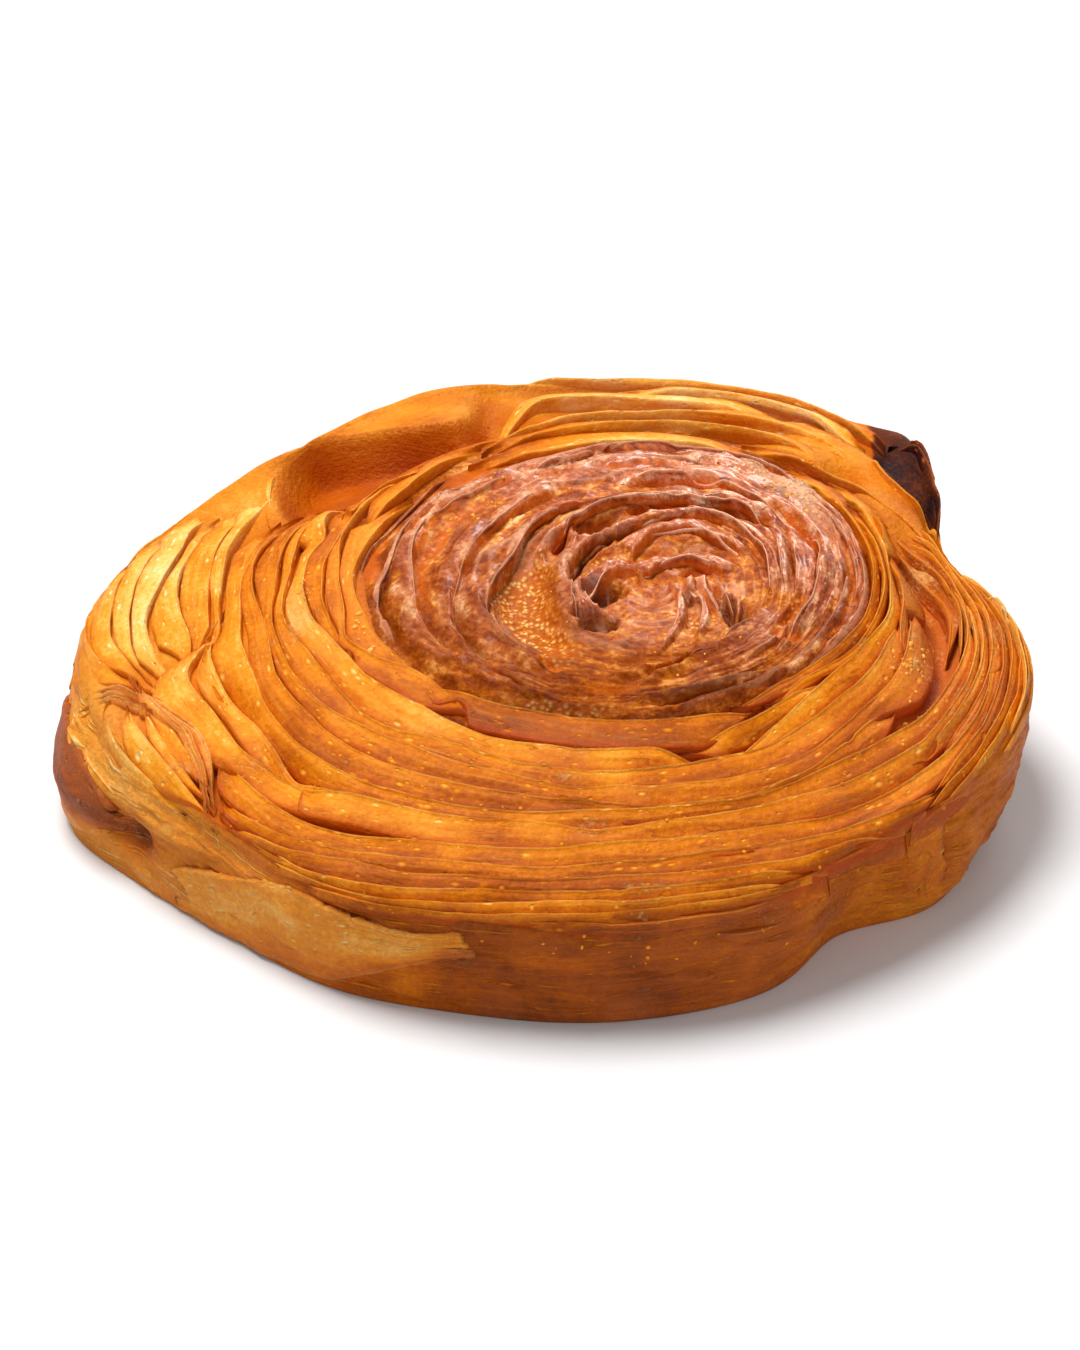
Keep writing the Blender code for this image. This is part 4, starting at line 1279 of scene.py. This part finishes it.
# ---- Glazed lips of the dome ------------------------------------------------------------------
# The edges of the turns in the dome stand up as thin curled lips, glazed mauve brown by the sugar, the
# mauve partly painted sheen. Each has a painted highlight along its top and painted glow and shade lower
# down, the highlight and sheen weaker on the dome's shaded front.

LIP_SIZE = 4.8  # size of its fin for each station of the fold's half width
LIP_GAP = 0.05
LIP_SHIFT = 0.70  # how far inward of the fold's middle a lip stands, in half widths
LIP_FIRST_STATION = 0.12


def dome_points(station, angle):
    """The dome's skin without its small lumps, for the lips to stand on."""
    return dome_skin(station, angle, 0.0)[0]


def glazed_lip(height, half, _, path, seed):
    """The lip along a fold of the dome."""
    shifted = [(angle, max(LIP_FIRST_STATION, station - LIP_SHIFT * half)) for angle, station in path]
    form = (0.35 + 0.22 * height, 0.1, -0.05, LIP_SIZE * half, 6.0)
    lip, station, angle, _, down = sheet_on_edge(shifted, np.full(9, LIP_GAP), dome_points, form, seed)
    looks = dome_skin(station, angle)[1]
    # Sheen on its upper part, painted glow and painted shade lower down, a painted highlight along its top.
    note(
        lip,
        plate=(1.0 - 0.6 * smooth(down)) * (1.0 - 0.6 * looks["amber"]),
        glow=0.5 * smooth((down - 0.5) / 0.8),
        grain=0.0,
        dark=0.4 * smooth((down - 1.0) / 0.8),
        amber=looks["amber"],
        turn=looks["turn"],
        lip=(0.85 - 0.80 * looks["amber"]) * bell(down, 0.26),
    )
    return lip


gathered("glazed_lips", glazed_lip, DOME_FOLDS, CARAMEL, seed=700)


# ---- Sugar bubbles and crumbs -----------------------------------------------------------------
# Drops of boiled sugar have set as small round bubbles, most of them on the dome, and crumbs of the thin
# layers lie on the fan and cling to the side.

# Groups: angle, station, spread of the angle, spread of the station, number, least and greatest size.
BUBBLES = (
    (338, 3.62, 7, 0.14, 22, 0.30, 0.75),
    (330, 3.84, 5, 0.10, 10, 0.30, 0.70),
    (206, 3.08, 6, 0.10, 9, 0.40, 0.90),
    (40, 2.70, 16, 0.20, 26, 0.25, 0.60),
    (140, 2.40, 30, 0.30, 26, 0.25, 0.65),
    (200, 1.60, 24, 0.25, 30, 0.20, 0.50),
    (300, 1.30, 60, 0.60, 30, 0.20, 0.50),
    (186, 3.36, 8, 0.10, 16, 0.20, 0.50),
)
CRUMBS = (
    (270, 4.00, 60, 0.60, 60, 0.20, 0.55),
    (205, 4.20, 30, 0.60, 30, 0.20, 0.55),
    (345, 4.30, 30, 0.40, 24, 0.20, 0.50),
    (280, 5.90, 34, 0.50, 20, 0.25, 0.60),
)
GROUNDS = ("dough_body", "caramel_dome", "side_skins", *[name for name, _, _ in SIDES])
DROP_HEIGHT, THROW_REACH = 60.0, 30.0


def landed(trees, station, angle):
    """Where a grain let fall on the top, or thrown straight at the side, comes to lie, and the way up."""
    point = on_turns(np.array([station]), np.array([angle]))[0]
    if station < SIDE_FROM:
        start, heading = Vector((point[0], point[1], DROP_HEIGHT)), Vector((0.0, 0.0, -1.0))
    else:
        away = Vector((*outward(np.array([angle]))[0], 0.0))
        start, heading = Vector(point) + THROW_REACH * away, -away
    hits = [tree.ray_cast(start * MM, heading) for tree in trees]
    hits = [(hit[3], hit[0], hit[1]) for hit in hits if hit[0]]
    return min(hits, key=lambda hit: hit[0])[1:] if hits else None


def strewn(name, groups, flatness, seed, **looks):
    """Small rounded grains in one mesh, each sunk a little into the surface under it."""
    chance = random.Random(seed)
    graph = bpy.context.evaluated_depsgraph_get()
    trees = [BVHTree.FromObject(piece, graph) for piece in bpy.data.objects if piece.name in GROUNDS]
    bpy.ops.mesh.primitive_ico_sphere_add(subdivisions=2, radius=0.5 * MM)
    first = bpy.context.object
    grains = []
    for angle, station, angle_spread, station_spread, number, least, most in groups:
        for _ in range(number):
            at, way = chance.gauss(station, station_spread / 2), chance.gauss(angle, angle_spread / 2)
            found = landed(trees, at, way)
            if found is None:
                continue
            place, normal = found
            grain = first.copy()
            grain.data = first.data.copy()
            size = chance.uniform(least, most)
            turned = normal.to_track_quat("Z", "X") @ Quaternion((0.0, 0.0, 1.0), chance.uniform(0.0, 6.3))
            form = Vector((size, size * chance.uniform(0.5, 1.0), size * flatness))
            grain.matrix_world = Matrix.LocRotScale(place, turned, form)
            bpy.context.collection.objects.link(grain)
            grains.append(grain)
    bpy.data.objects.remove(first)
    whole = joined(name, grains)
    bpy.ops.object.transform_apply(location=True, rotation=True, scale=True)
    note(whole, depth=0.0, glaze=0.0, along=0.0, across=0.0, layered=0.0, **looks)
    finished(whole, LAYERED_DOUGH)


# The lip share mixes a little of the lips' highlight colour evenly into the bubbles.
strewn("sugar_bubbles", BUBBLES, 0.8, 5, toast=0.26, lip=0.3, frost=0.4)
strewn("crumbs", CRUMBS, 0.35, 6, toast=0.36, lip=0.0, frost=0.0)


# ---- Floor, light and camera ------------------------------------------------------------------
# A plain pale floor, a broad soft light overhead and a little to the back left, a weak fill in front,
# and the camera where the photograph was taken from.

CAMERA_PLACE = (-0.40, -458.4, 331.9)
CAMERA_DOWN = 35.0
FOCAL_PIXELS = 4502.4
PICTURE_HEIGHT = 1350
SENSOR = 36.0
FLOOR_SIDE = 3.0
# Lights, in metres and watts: name, place, size, power.
LIGHTS = (
    ("overhead", (-0.25, 0.2, 0.9), 0.5, 11.0),
    ("back_gloss", (0.25, 0.95, 0.42), 0.4, 3.0),
    ("front_fill", (0.3, -0.8, 0.5), 0.6, 2.0),
)
SKY_STRENGTH = 0.30


def floor():
    bpy.ops.mesh.primitive_plane_add(size=FLOOR_SIDE)
    ground = bpy.context.object
    ground.name = "floor"
    material, _, shader = new_material("pale floor")
    feed(shader, {"Base Color": (0.74, 0.74, 0.74, 1.0), "Roughness": 0.8})
    ground.data.materials.append(material)


def studio():
    """The lights, each turned to the pastry, and the white all round."""
    for name, place, size, power in LIGHTS:
        bpy.ops.object.light_add(type="AREA", location=place)
        lamp = bpy.context.object
        lamp.name = name
        lamp.data.shape = "DISK"
        lamp.data.size = size
        lamp.data.energy = power
        tilt = math.acos(place[2] / np.linalg.norm(place))
        lamp.rotation_euler = (tilt, 0.0, math.atan2(place[0], -place[1]))
    world = bpy.data.worlds.new("studio")
    world.use_nodes = True
    feed(world.node_tree.nodes["Background"], {"Color": (1.0, 1.0, 1.0, 1.0), "Strength": SKY_STRENGTH})
    bpy.context.scene.world = world
    bpy.context.scene.view_settings.view_transform = "Standard"


def camera():
    place = [value * MM for value in CAMERA_PLACE]
    bpy.ops.object.camera_add(location=place, rotation=(math.radians(90.0 - CAMERA_DOWN), 0.0, 0.0))
    made = bpy.context.object
    made.name = "photo_camera"
    made.data.sensor_fit = "VERTICAL"
    made.data.sensor_height = SENSOR
    made.data.lens = FOCAL_PIXELS * SENSOR / PICTURE_HEIGHT
    made.data.clip_start = 0.01
    bpy.context.scene.camera = made


floor()
studio()
camera()
